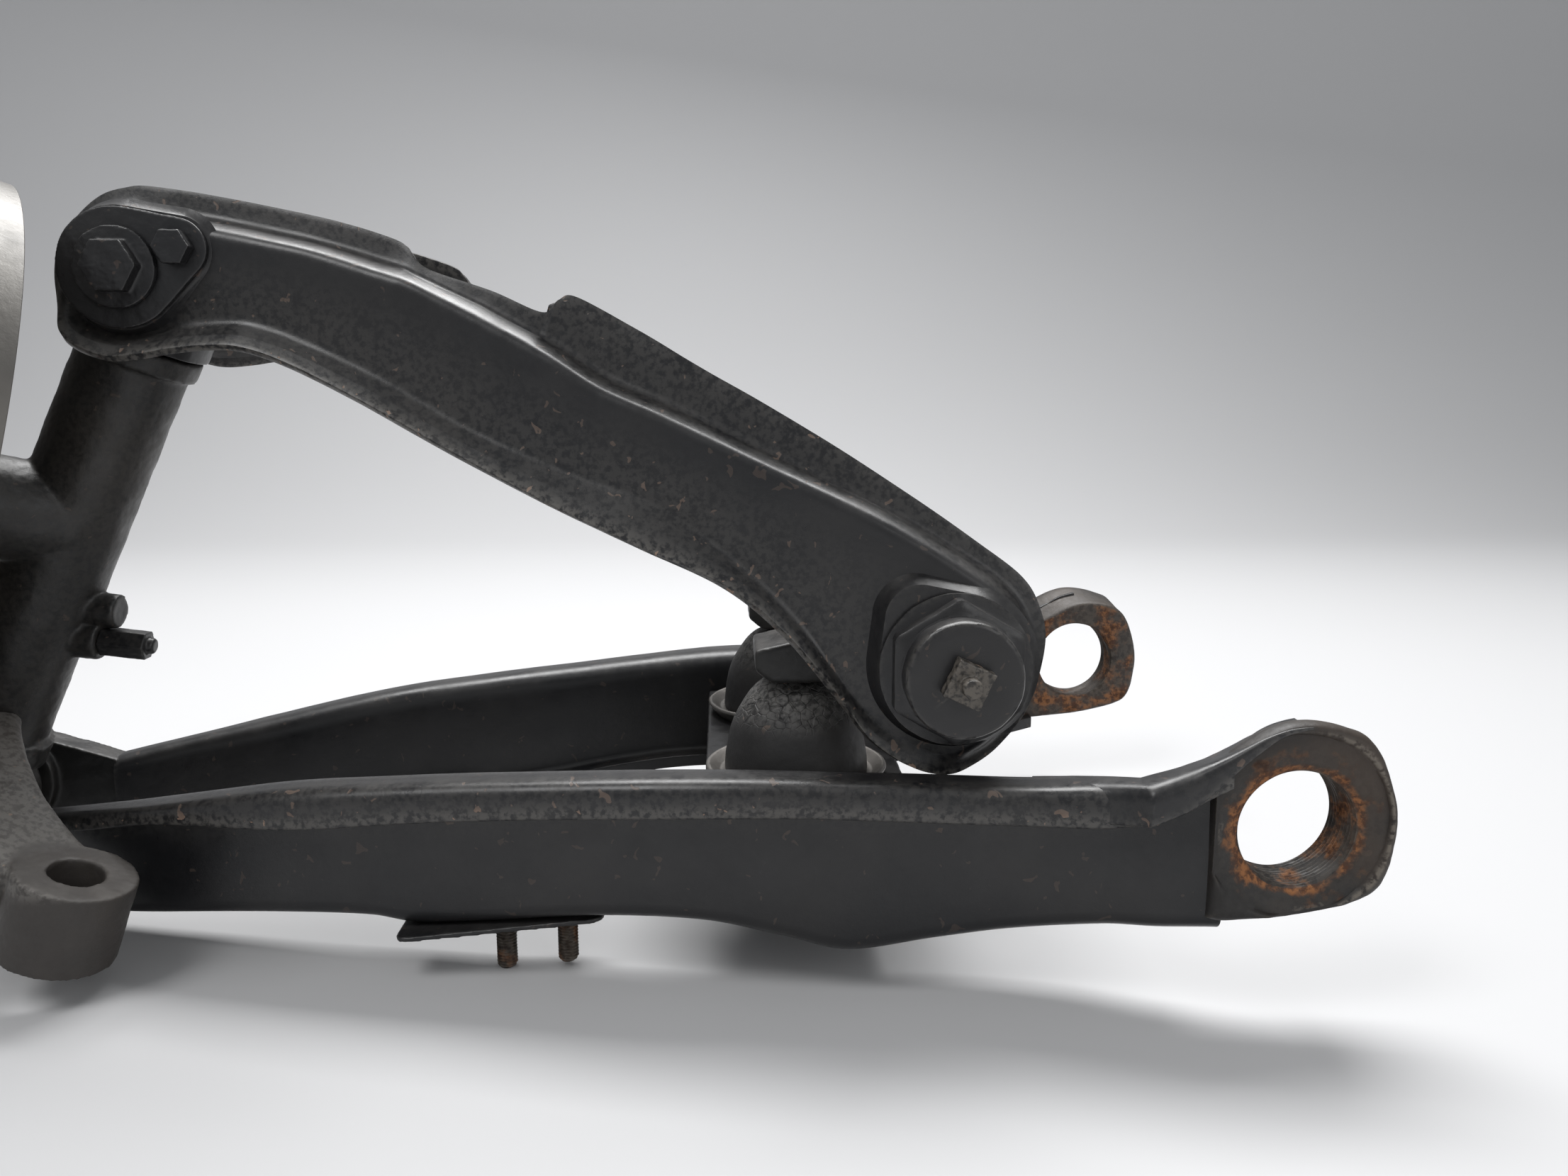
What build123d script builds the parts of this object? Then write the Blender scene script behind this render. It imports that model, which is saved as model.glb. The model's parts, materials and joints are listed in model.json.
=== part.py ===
"""Front suspension control arms with the steering knuckle, hub and brake disc that hang between them.

Frame: millimetres. The origin is the middle of the lower arm's inner pivot axis.
+X points inboard (towards the car), +Y runs along the pivot axes, +Z is up.
"""
import os
from math import cos, radians, sin, sqrt

from build123d import *

os.makedirs("parts", exist_ok=True)

# ---------------------------------------------------------------- driving dimensions
SHEET = 3.0                      # pressed steel thickness

EYE_FACE = 140.0                 # outer face of each inner eye, from the middle
EYE_BACK = 118.0                 # inner face of each inner eye
EYE_BORE_R = 20.5                # threaded bore, minor radius

LEG_ROUND = 12.0                 # half width of the rolled top of a leg
LEG_END_X = -478.0               # outer end of the pressed legs
LEG_EYE_X = -30.0                # inner end of the pressed legs, at the eye

PIN_LOW = Vector(-529.0, 0, -30)     # lower outer pivot
PIN_HIGH = Vector(-417.5, 0, 192.5)  # upper outer pivot
SHAFT = Vector(-111.0, 0, 48.0)      # upper inner pivot
POST = Vector(0.429, 0, 0.9033)      # king-pin direction
KING_PIN_R = 11.0
TUBE_R = 21.6
TUBE_LOW, TUBE_HIGH = 27.0, 219.5    # knuckle tube, measured up the post from PIN_LOW

SPINDLE_UP = 142.6               # spindle's root, measured up the post from PIN_LOW
SPINDLE_ROOT = PIN_LOW + POST.normalized() * SPINDLE_UP
CAMBER, STEER = radians(15.4), radians(39)    # spindle's tilt up, and its turn at full lock
SPINDLE = Vector(-cos(CAMBER) * cos(STEER), -cos(CAMBER) * sin(STEER), sin(CAMBER))
EYE_TILT = radians(20)
EYE_UP = Vector(sin(EYE_TILT), 0, cos(EYE_TILT))    # up, for the steering arm's eye
BOSS_R, BOSS_DROP = 21.0, 5.0    # the boss's centre lies below the spindle's
DISC_R = 120.0
DISC_AT = 54.2                   # middle of the disc, along the spindle
DISC_THICK = 12.0

PIN_R = 11.0                     # lower outer pin
HIGH_PIN_R = 9.0                 # upper outer pin
SHAFT_R = 13.0
RUN = 0.05                       # running clearance of threaded and plain bearings
GAP = 0.4                        # free space between faces that turn past each other

BUMP = Vector(-166.0, 50.0, -3.0)    # bump stop base, one each side
BUMP_R, BUMP_HIGH = 29.0, 35.4
LUG_Y, LUG_LOW, LUG_HIGH = 53.0, 36.0, 55.0

TIE_EYE = Vector(-431.0, -92.0, -25.5)   # top of the steering arm's eye
TIE_EYE_R, TIE_HOLE_R, TIE_EYE_DEEP = 20.8, 9.5, 32.0

WHEEL_PCD, WHEEL_HOLE_R = 112.0, 6.0
STUD_R, STUD_Y = 4.0, -80.0
STUD_NECK_R = 3.4                # where it passes through the plate
STUDS = ((-279.5, -72.0, -53.8), (-256.0, -70.0, -51.8))   # each stud's x, lowest z and shoulder z

# ---------------------------------------------------------------- how a leg runs, by its x
LEG_Y = ((-478, 43), (-440, 54), (-400, 63), (-340, 76), (-280, 87), (-200, 103),
         (-160, 107), (-100, 112), (-60, 120), (-30, 130))
LEG_TOP = ((-478, -21), (-440, -14.5), (-400, -7), (-360, 0), (-320, 4), (-280, 7), (-200, 12),
           (-140, 11.5), (-86, 11), (-52, 14), (-40, 17), (-30, 22))
LEG_LIP = ((-478, -28), (-445, -22.5), (-415, -17), (-357, -14.3), (-313, -9.4), (-276, -6.3),
           (-230, -3.2), (-176, -0.8), (-110, -2.3), (-70, -2), (-55, -1), (-44, 3), (-30, 13))
LEG_LOW = ((-478, -59), (-434, -58), (-368, -53), (-331, -51.5), (-313, -53.4), (-284, -51), (-242, -46),
           (-202, -45.2), (-174, -50.4), (-151, -55.4), (-119, -50.5), (-92, -46), (-30, -37.5))
LEG_PROUD = ((-478, 0.6), (-445, 1.2), (-415, 5), (-357, 8), (-30, 8))
WEB_RISE = ((-478, -0.4), (-415, -0.4), (-357, 6), (-30, 6))    # web's top edge above the cap's lip
LEG_STATIONS = (-478, -445, -415, -357, -313, -276, -230, -187, -151, -119, -70, -44, -30)

# upper arm: where the web's top bend and lower bend lie (x, z), then lip reach, drop and flare
ARM_STATIONS = (
    ((-411, 211), (-411, 171), 12, 9, 9),
    ((-367, 202.7), (-384.5, 172.2), 13, 8, 9),
    ((-332, 193.8), (-350.5, 165.6), 13, 8, 9),
    ((-285, 174.2), (-304, 143), 12, 10, 9),
    ((-239.4, 147.8), (-260, 121.5), 26, 12, 9),
    ((-190, 125.5), (-217, 105.2), 20, 15, 9),
    ((-135.8, 99.6), (-184, 80), 14, 8, 7),
    ((-97.6, 76.9), (-150, 38), 11, 4, 4),
)
ARM_BAND = 12.0                  # how far the top band steps inward of the web
ARM_LIP = 2.0                    # how far the lip leans in beyond the band
ARM_NEAR_OUTER = 40.0            # web's distance from the middle, at ARM_X0
ARM_X0 = -440.0
ARM_SPREAD = 0.16                # growth of that distance per mm inboard
NOTCH = (-306.0, -257.0)         # the lip is cut away between these


# ---------------------------------------------------------------- helpers
def along(x, table):
    """Value at x on a line through the table's points."""
    for (x0, v0), (x1, v1) in zip(table, table[1:]):
        if x <= x1:
            return v0 + (v1 - v0) * (x - x0) / (x1 - x0)
    return table[-1][1]


def sheet_outline(points, thick):
    """A bent sheet's closed section: the given face, and one a thickness to its left."""
    inner = []
    for i, (x, y) in enumerate(points):
        turns = []
        for a, b in ((i - 1, i), (i, i + 1)):
            if a >= 0 and b < len(points):
                dx, dy = points[b][0] - points[a][0], points[b][1] - points[a][1]
                length = sqrt(dx * dx + dy * dy)
                turns.append((-dy / length, dx / length))
        nx = sum(n[0] for n in turns) / len(turns)
        ny = sum(n[1] for n in turns) / len(turns)
        reach = thick / (nx * nx + ny * ny)
        inner.append((x + nx * reach, y + ny * reach))
    return list(points) + inner[::-1]


def cross_plane(x, y, z):
    """Plane through a point with its normal along the pivot axes (+Y)."""
    return Plane(origin=(x, y, z), x_dir=(1, 0, 0), z_dir=(0, 1, 0))


def post_plane(up):
    """Plane square to the king pin, a distance up the post."""
    return Plane(origin=PIN_LOW + POST.normalized() * up, x_dir=(0, 1, 0), z_dir=POST)


def spindle_plane(out):
    """Plane square to the wheel spindle, a distance outboard of the post."""
    return Plane(origin=SPINDLE_ROOT + SPINDLE * out, x_dir=SPINDLE.cross(Vector(0, 0, 1)), z_dir=SPINDLE)


def boss_plane(out):
    """The same for the knuckle's boss."""
    square = spindle_plane(out)
    return Plane(origin=square.from_local_coords(Vector(0, BOSS_DROP, 0)), x_dir=square.x_dir,
                 z_dir=square.z_dir)


def ring(plane, outer, inner, length):
    """Plain ring or disc standing on a plane, in the builder it is called from."""
    with BuildSketch(plane) as profile:
        Circle(outer)
        if inner:
            Circle(inner, mode=Mode.SUBTRACT)
    extrude(profile.sketch, amount=length)


def hexagon(plane, across_flats, length, bore=0.0):
    """Hexagon prism standing on a plane."""
    with BuildSketch(plane) as profile:
        RegularPolygon(across_flats / 2, 6, major_radius=False)
        if bore:
            Circle(bore, mode=Mode.SUBTRACT)
    extrude(profile.sketch, amount=length)


def drill(plane, radius, length):
    """Round hole going up from a plane."""
    with BuildSketch(plane) as profile:
        Circle(radius)
    extrude(profile.sketch, amount=length, mode=Mode.SUBTRACT)


pieces = {}


def both_sides(front, name):
    """Keep a front piece and its mirror image at the rear."""
    with BuildPart() as rear:
        mirror(front.part, about=Plane.XZ)
    pieces["front_" + name] = front
    pieces["rear_" + name] = rear


def pair(front, name):
    """Keep a front piece and its mirror image together in one node."""
    with BuildPart() as both:
        add(front.part)
        mirror(front.part, about=Plane.XZ)
    pieces[name] = both


# ---------------------------------------------------------------- lower arm: pressed legs
def leg_plane(x):
    """Section plane of the front leg: local x runs outward (-Y), local y runs up."""
    return Plane(origin=(x, 0, 0), x_dir=(0, -1, 0), z_dir=(-1, 0, 0))


with BuildPart() as leg_cap:
    for x in LEG_STATIONS:
        middle, top, lip, low = (along(x, t) for t in (LEG_Y, LEG_TOP, LEG_LIP, LEG_LOW))
        proud = along(x, LEG_PROUD)
        web, inside = middle + 4, middle - LEG_ROUND
        outline = sheet_outline([
            (web, lip), (web + proud, lip), (web + proud, top), (inside, top),
            (inside, low + 2 * SHEET), (inside - 10, low + 2 * SHEET)], SHEET * 0.9)
        with BuildSketch(leg_plane(x)):
            with BuildLine():
                Polyline(*outline, close=True)
            make_face()
    loft(ruled=True)
both_sides(leg_cap, "leg_cap")

with BuildPart() as leg_web:
    for x in LEG_STATIONS:
        middle, lip, low = (along(x, t) for t in (LEG_Y, LEG_LIP, LEG_LOW))
        web, inside = middle + 4, middle - LEG_ROUND
        rise = lip + along(x, WEB_RISE)
        outline = sheet_outline([
            (inside - 10, low + 0.2), (web - 7, low + 0.2), (web, low + 7), (web, rise)], SHEET * 0.9)
        with BuildSketch(leg_plane(x)):
            with BuildLine():
                Polyline(*outline, close=True)
            make_face()
    loft(ruled=True)
both_sides(leg_web, "leg_web")

# inner eye, forged, with the threaded bore of the inner pivot; its top falls away towards the back
EYE_SIDE = ((28.2, -23.2), (32, -15.5), (33.4, -8.4), (34.2, 0), (33.2, 8.4), (30.6, 16.8))
EYE_TOP_FRONT = ((27.3, 25.5), (21.8, 32.8), (15.2, 35.4), (9, 37.2), (2, 38.1), (-4, 37.8),
                 (-9.5, 36.4), (-15, 33.8), (-22, 30), (LEG_EYE_X, 26.4))
EYE_TOP_BACK = ((27.3, 24), (23.5, 28), (19.2, 30.5), (12.9, 31.7), (6, 32.2), (0, 31.3),
                (-5.5, 29.3), (-11.5, 26.3), (-20.4, 21.9), (LEG_EYE_X, 18))
with BuildPart() as pivot_eye:
    for out, top in ((EYE_BACK, EYE_TOP_BACK), (EYE_FACE + 2, EYE_TOP_FRONT)):
        with BuildSketch(Plane.XZ.offset(out)):
            with BuildLine():
                Spline(*EYE_SIDE, *top)
                Polyline((LEG_EYE_X, top[-1][1]), (LEG_EYE_X, -32.8), (-1, -30.4), EYE_SIDE[0])
            make_face()
    loft()
    with BuildSketch(Plane.XZ.offset(EYE_FACE)):
        with Locations((-1.5, 2)):
            Circle(32)
    extrude(amount=2, mode=Mode.SUBTRACT)
    drill(Plane.XZ.offset(EYE_BACK), EYE_BORE_R, EYE_FACE + 2 - EYE_BACK)
    chamfer(pivot_eye.edges().filter_by(GeomType.CIRCLE).filter_by(
        lambda e: abs(e.radius - EYE_BORE_R) < 0.01), 1.2)
both_sides(pivot_eye, "pivot_eye")

# outer eye, forged, with the bore for the lower outer bush
OUTER_EYE_IN, OUTER_EYE_OUT, OUTER_EYE_R = 27.0, 45.0, 24.0
LOW_BUSH_R = 15.0
with BuildPart() as outer_eye:
    with BuildSketch(Plane.XZ.offset(OUTER_EYE_IN)):
        with Locations((PIN_LOW.X, PIN_LOW.Z)):
            Circle(OUTER_EYE_R)
    extrude(amount=OUTER_EYE_OUT - OUTER_EYE_IN)
    with BuildSketch(Plane.XZ.offset(OUTER_EYE_IN + 5)):
        with BuildLine():
            Polyline((PIN_LOW.X + 4, PIN_LOW.Z + 23), (LEG_END_X, -22), (LEG_END_X, -58),
                     (PIN_LOW.X + 4, PIN_LOW.Z - 23), close=True)
        make_face()
    extrude(amount=OUTER_EYE_OUT - OUTER_EYE_IN - 5)
    drill(Plane(origin=(PIN_LOW.X, 0, PIN_LOW.Z), x_dir=(1, 0, 0), z_dir=(0, -1, 0)), LOW_BUSH_R, 60)
both_sides(outer_eye, "outer_eye")

with BuildPart() as lower_bush:
    ring(cross_plane(PIN_LOW.X, -55, PIN_LOW.Z), 19, 0, 3)
    hexagon(cross_plane(PIN_LOW.X, -52, PIN_LOW.Z), 38, 52 - OUTER_EYE_OUT)
    ring(cross_plane(PIN_LOW.X, -OUTER_EYE_OUT, PIN_LOW.Z), LOW_BUSH_R, 0, OUTER_EYE_OUT - OUTER_EYE_IN)
    drill(cross_plane(PIN_LOW.X, -50.5, PIN_LOW.Z), PIN_R + RUN, 40)
    drill(cross_plane(PIN_LOW.X, -56, PIN_LOW.Z), 3, 10)
both_sides(lower_bush, "lower_outer_bush")

with BuildPart() as lower_nipple:
    ring(cross_plane(PIN_LOW.X, -55, PIN_LOW.Z), 2.9, 0, 4)
    hexagon(cross_plane(PIN_LOW.X, -58, PIN_LOW.Z), 8, 3)
    ring(cross_plane(PIN_LOW.X, -64, PIN_LOW.Z), 2.6, 0, 6)
pair(lower_nipple, "lower_grease_nipples")

with BuildPart() as lower_seal:
    ring(cross_plane(PIN_LOW.X, -OUTER_EYE_IN + 0.1, PIN_LOW.Z), 19, PIN_R + GAP, 2.2)
pair(lower_seal, "lower_outer_seals")

# plate between the legs that carries the bump stops
PLATE_OUT, PLATE_IN, PLATE_TOP, PLATE_DEEP = -203.0, -122.0, -7.0, 32.0
with BuildPart() as cross_plate:
    half_out = along(PLATE_OUT, LEG_Y) - LEG_ROUND - 1.4
    half_in = along(PLATE_IN, LEG_Y) - LEG_ROUND - 1.4
    with BuildSketch(Plane.XY.offset(PLATE_TOP - PLATE_DEEP)):
        with BuildLine():
            Polyline((PLATE_OUT, -half_out), (PLATE_IN, -half_in), (PLATE_IN, half_in),
                     (PLATE_OUT, half_out), close=True)
        make_face()
    extrude(amount=PLATE_DEEP)
    with BuildSketch(Plane.XY.offset(PLATE_TOP - PLATE_DEEP)):
        with Locations(((PLATE_OUT + PLATE_IN) / 2, 0)):
            Rectangle(PLATE_IN - PLATE_OUT - 2 * SHEET, 300)
    extrude(amount=PLATE_DEEP - SHEET, mode=Mode.SUBTRACT)
    with BuildSketch(Plane.XY.offset(PLATE_TOP - SHEET)):
        with Locations((BUMP.X, 0)):
            SlotOverall(30, 16)
        with Locations((BUMP.X, BUMP.Y), (BUMP.X, -BUMP.Y)):
            Circle(5.1)
    extrude(amount=SHEET, mode=Mode.SUBTRACT)
pieces["cross_plate"] = cross_plate

with BuildPart() as bump_cup:
    with BuildSketch(Plane.XZ.offset(BUMP.Y)) as cup_section:
        with BuildLine():
            Polyline((BUMP.X + 5.2, PLATE_TOP), (BUMP.X + 33, PLATE_TOP), (BUMP.X + 37, BUMP.Z + 1),
                     (BUMP.X + 35.5, BUMP.Z + 2), (BUMP.X + 31, PLATE_TOP + 2.5),
                     (BUMP.X + 5.2, PLATE_TOP + 2.5), close=True)
        make_face()
    revolve(axis=Axis((BUMP.X, -BUMP.Y, 0), (0, 0, 1)))
both_sides(bump_cup, "bump_stop_cup")

with BuildPart() as bump_stop:
    with BuildSketch(Plane.XZ.offset(BUMP.Y)):
        with BuildLine():
            Line((BUMP.X, PLATE_TOP + 2.6), (BUMP.X + BUMP_R, PLATE_TOP + 2.6))
            Spline((BUMP.X + BUMP_R, PLATE_TOP + 2.6), (BUMP.X + 25.5, 16), (BUMP.X + 15, 31.5),
                   (BUMP.X, BUMP_HIGH), tangents=[(0, 1), (-1, 0)])
            Line((BUMP.X, BUMP_HIGH), (BUMP.X, PLATE_TOP + 2.6))
        make_face()
    revolve(axis=Axis((BUMP.X, -BUMP.Y, 0), (0, 0, 1)))
    drill(Plane(origin=(BUMP.X, -BUMP.Y, PLATE_TOP)), 5.1, 22)
both_sides(bump_stop, "bump_stop")

with BuildPart() as bump_bolt:
    ring(Plane(origin=(BUMP.X, -BUMP.Y, PLATE_TOP - 16)), 5.0, 0, 34)
    hexagon(Plane(origin=(BUMP.X, -BUMP.Y, PLATE_TOP - SHEET - 8.1)), 17, 8)
pair(bump_bolt, "bump_stop_bolts")

# stud plate under the front leg, for the anti-roll bar bracket
with BuildPart() as stud_plate:
    plate_tilt = radians(4.8)
    with BuildSketch(Plane(origin=(-280, STUD_Y, -50.8), x_dir=(cos(plate_tilt), 0, sin(plate_tilt)),
                           z_dir=(-sin(plate_tilt), 0, cos(plate_tilt)))):
        RectangleRounded(78, 26, 5)
    extrude(amount=-2)
    for x, _, _ in STUDS:
        drill(Plane(origin=(x, STUD_Y, -70)), STUD_NECK_R, 40)
pieces["stud_plate"] = stud_plate

with BuildPart() as bracket_studs:
    for x, low, shoulder in STUDS:
        ring(Plane(origin=(x, STUD_Y, low)), STUD_R, 0, shoulder - low)
        ring(Plane(origin=(x, STUD_Y, shoulder)), STUD_NECK_R, 0, 2.7)
pieces["bracket_studs"] = bracket_studs

# ---------------------------------------------------------------- king-pin carrier
HEAD_HALF = 24.0
with BuildPart() as lower_head:
    ring(cross_plane(PIN_LOW.X, -HEAD_HALF, PIN_LOW.Z), 21, 0, 2 * HEAD_HALF)
    ring(post_plane(0), 19, 0, 24)
    drill(cross_plane(PIN_LOW.X, -30, PIN_LOW.Z), PIN_R, 60)
    drill(post_plane(11.5), KING_PIN_R, 20)
pieces["carrier_lower_head"] = lower_head

with BuildPart() as lower_pin:
    ring(cross_plane(PIN_LOW.X, -49, PIN_LOW.Z), PIN_R, 0, 98)
pieces["lower_outer_pin"] = lower_pin

with BuildPart() as king_pin:
    ring(post_plane(12), KING_PIN_R, 0, 224.5)
pieces["king_pin"] = king_pin

with BuildPart() as thrust_washer:
    ring(post_plane(24), 19.5, KING_PIN_R, 3 - GAP)
pieces["thrust_washer"] = thrust_washer

CAP_LOW = TUBE_HIGH + 1
with BuildPart() as upper_head:
    ring(cross_plane(PIN_HIGH.X, -HEAD_HALF, PIN_HIGH.Z), 19, 0, 2 * HEAD_HALF)
    with BuildSketch(post_plane(CAP_LOW + 1.5)):
        Circle(20)
    with BuildSketch(Plane(origin=PIN_HIGH, x_dir=(0, 1, 0), z_dir=POST)):
        Circle(18)
    loft()
    drill(cross_plane(PIN_HIGH.X, -30, PIN_HIGH.Z), HIGH_PIN_R, 60)
    drill(post_plane(190), KING_PIN_R, 47)
pieces["carrier_upper_head"] = upper_head

with BuildPart() as dust_cap:
    ring(post_plane(CAP_LOW), 26, KING_PIN_R, 1.5)
    ring(post_plane(CAP_LOW), 26, 24, 8.3)
    ring(post_plane(CAP_LOW + 6.8), 26, 22.5, 1.5)
pieces["dust_cap"] = dust_cap

with BuildPart() as upper_pin:
    ring(cross_plane(PIN_HIGH.X, -45, PIN_HIGH.Z), HIGH_PIN_R, 0, 90)
pieces["upper_outer_pin"] = upper_pin

# ---------------------------------------------------------------- steering knuckle
STOP = Plane(origin=(-476, 0, 43.2), x_dir=(0, 1, 0), z_dir=(1, 0, -0.13))
STOP_BOSS = Plane(origin=(-473.5, 0, 56.5), x_dir=(0, 1, 0), z_dir=(1, 0, -0.13))

with BuildPart() as knuckle:
    ring(post_plane(TUBE_LOW), TUBE_R, 0, TUBE_HIGH - TUBE_LOW)
    ring(post_plane(TUBE_HIGH - 9), 24.5, 0, 9)
    ring(post_plane(TUBE_LOW), 24.6, 0, 12)
    ring(boss_plane(0), BOSS_R, 0, 34)
    with BuildSketch(boss_plane(34)):
        Circle(BOSS_R)
    with BuildSketch(spindle_plane(39)):
        Circle(17.5)
    loft()
    ring(spindle_plane(39), 17.5, 0, 22)
    with BuildSketch(spindle_plane(61)):
        Circle(17.5)
    with BuildSketch(spindle_plane(86)):
        Circle(11)
    loft()
    ring(spindle_plane(86), 11, 0, 18)
    ring(spindle_plane(104), 10, 0, 22)
    ring(STOP_BOSS, 7.5, 0, 20)
    ring(STOP, 8.5, 0, 14)
    drill(post_plane(0), 13.5, 240)
    drill(STOP, 4, 20)
pieces["steering_knuckle"] = knuckle

with BuildPart() as king_pin_bushes:
    for up in (TUBE_LOW + 1, TUBE_HIGH - 36):
        ring(post_plane(up), 13.45, KING_PIN_R + RUN, 34)
pieces["king_pin_bushes"] = king_pin_bushes

with BuildPart() as stop_screw:
    ring(STOP.offset(8), 4, 0, 6)
    hexagon(STOP.offset(14), 11.5, 19)
    ring(STOP.offset(33), 3.5, 0, 3)
    fillet(stop_screw.faces().sort_by(Axis.X)[-1].edges(), 1.5)
pieces["stop_screw"] = stop_screw

# steering arm: a forging that runs from the foot of the tube to the tie-rod eye
with BuildPart() as steering_arm:
    ARM_PATH = ((-512, -14, 14), (-494, -46, 3), (-470, -72, -15), (-446, -87, -31))
    for i, here in enumerate(ARM_PATH):
        before, after = ARM_PATH[max(i - 1, 0)], ARM_PATH[min(i + 1, 3)]
        run = Vector(*after) - Vector(*before)
        side = run.cross(EYE_UP)
        with BuildSketch(Plane(origin=here, x_dir=side, z_dir=run)):
            RectangleRounded(36, 19, 5)
    loft()
    eye_foot = TIE_EYE - EYE_UP * TIE_EYE_DEEP
    ring(Plane(origin=eye_foot, x_dir=(0, 1, 0), z_dir=EYE_UP), TIE_EYE_R, 0, TIE_EYE_DEEP)
    drill(Plane(origin=eye_foot - EYE_UP * 5, x_dir=(0, 1, 0), z_dir=EYE_UP), TIE_HOLE_R, 60)
    drill(post_plane(0), 24.8, 120)
pieces["steering_arm"] = steering_arm

# ---------------------------------------------------------------- hub and brake disc
FLANGE_R = 72.0
FLANGE_AT = DISC_AT + DISC_THICK / 2
SPIGOT_R = 34.0                  # centres the wheel, 7 mm proud of the flange
HUB_END = 110.0
with BuildPart() as brake_disc:
    ring(spindle_plane(DISC_AT - DISC_THICK / 2), DISC_R, 44, DISC_THICK)
    with BuildSketch(spindle_plane(DISC_AT - DISC_THICK / 2)):
        with PolarLocations(WHEEL_PCD / 2, 5, start_angle=36):
            Circle(4.1)
    extrude(amount=DISC_THICK, mode=Mode.SUBTRACT)
pieces["brake_disc"] = brake_disc

with BuildPart() as wheel_hub:
    ring(spindle_plane(37), SPIGOT_R, 0, FLANGE_AT + 18 - 37)
    ring(spindle_plane(FLANGE_AT + 18), 30, 0, HUB_END - FLANGE_AT - 18)
    ring(spindle_plane(FLANGE_AT), FLANGE_R, 0, 11)
    drill(spindle_plane(37), 28, 23)
    drill(spindle_plane(35), 21, 90)
    drill(spindle_plane(86), 22, 40)
    with BuildSketch(spindle_plane(FLANGE_AT)):
        with PolarLocations(WHEEL_PCD / 2, 5):
            Circle(WHEEL_HOLE_R)
        with PolarLocations(WHEEL_PCD / 2, 5, start_angle=36):
            Circle(4.1)
    extrude(amount=11, mode=Mode.SUBTRACT)
pieces["wheel_hub"] = wheel_hub

with BuildPart() as disc_bolts:
    for spot in PolarLocations(WHEEL_PCD / 2, 5, start_angle=36).local_locations:
        base = spindle_plane(DISC_AT - DISC_THICK / 2 - 6)
        centre = base.from_local_coords(spot.position)
        seat = Plane(origin=centre, x_dir=base.x_dir, z_dir=base.z_dir)
        hexagon(seat, 13, 6)
        ring(seat.offset(6), 4.0, 0, 22)
pieces["disc_bolts"] = disc_bolts

with BuildPart() as inner_bearing:
    ring(spindle_plane(40), 28, 17.5 + RUN, 20)
pieces["inner_wheel_bearing"] = inner_bearing

with BuildPart() as outer_bearing:
    ring(spindle_plane(87), 22, 11 + RUN, 16)
pieces["outer_wheel_bearing"] = outer_bearing

with BuildPart() as spindle_nut:
    ring(spindle_plane(104), 17, 10, 2.5)
    hexagon(spindle_plane(106.5), 30, 11, bore=10)
pieces["spindle_nut"] = spindle_nut

with BuildPart() as grease_cap:
    ring(spindle_plane(HUB_END - 4), 22, 20, 4)
    ring(spindle_plane(HUB_END), 24, 20, 3)
    ring(spindle_plane(HUB_END + 3), 22, 20, 15)
    ring(spindle_plane(HUB_END + 18), 22, 0, 2.5)
    fillet(grease_cap.faces().sort_by(Axis.X)[0].edges(), 2)
pieces["grease_cap"] = grease_cap


# ---------------------------------------------------------------- upper arm
ARM_TURN = sqrt(1 + ARM_SPREAD ** 2)
ARM_OUT = Vector(-ARM_SPREAD / ARM_TURN, -1 / ARM_TURN, 0)    # outward normal of the front web
ARM_RUN = Vector(1 / ARM_TURN, -ARM_SPREAD / ARM_TURN, 0)     # inboard, along the web


def on_web(x, z):
    """Point of the front half's outer web face above a given x and z."""
    return Vector(x, -(ARM_NEAR_OUTER + (x - ARM_X0) * ARM_SPREAD), z)


WEB = Plane(origin=on_web(ARM_X0, 0), x_dir=ARM_RUN, z_dir=ARM_OUT)


def web_point(x, z):
    """The same point in the web plane's own two coordinates."""
    return ((x - ARM_X0) * ARM_TURN, z)


PAD_FACE = 49.3                  # flat pad round the outer bush, from the middle
LOCK_PLATE = 2.2
INNER_PAD = 98.0                 # flat pad round the inner bush
LOCK_BOLT = Vector(-395.5, 0, 199.5)


def teardrop(big, small):
    """Outline round the outer pin and its lock bolt, in the sketch it is called from."""
    with BuildSketch(mode=Mode.PRIVATE) as drop:
        with Locations((PIN_HIGH.X, PIN_HIGH.Z)):
            Circle(big)
        with Locations((LOCK_BOLT.X, LOCK_BOLT.Z)):
            Circle(small)
        make_hull()
    add(drop.sketch_local)


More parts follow.
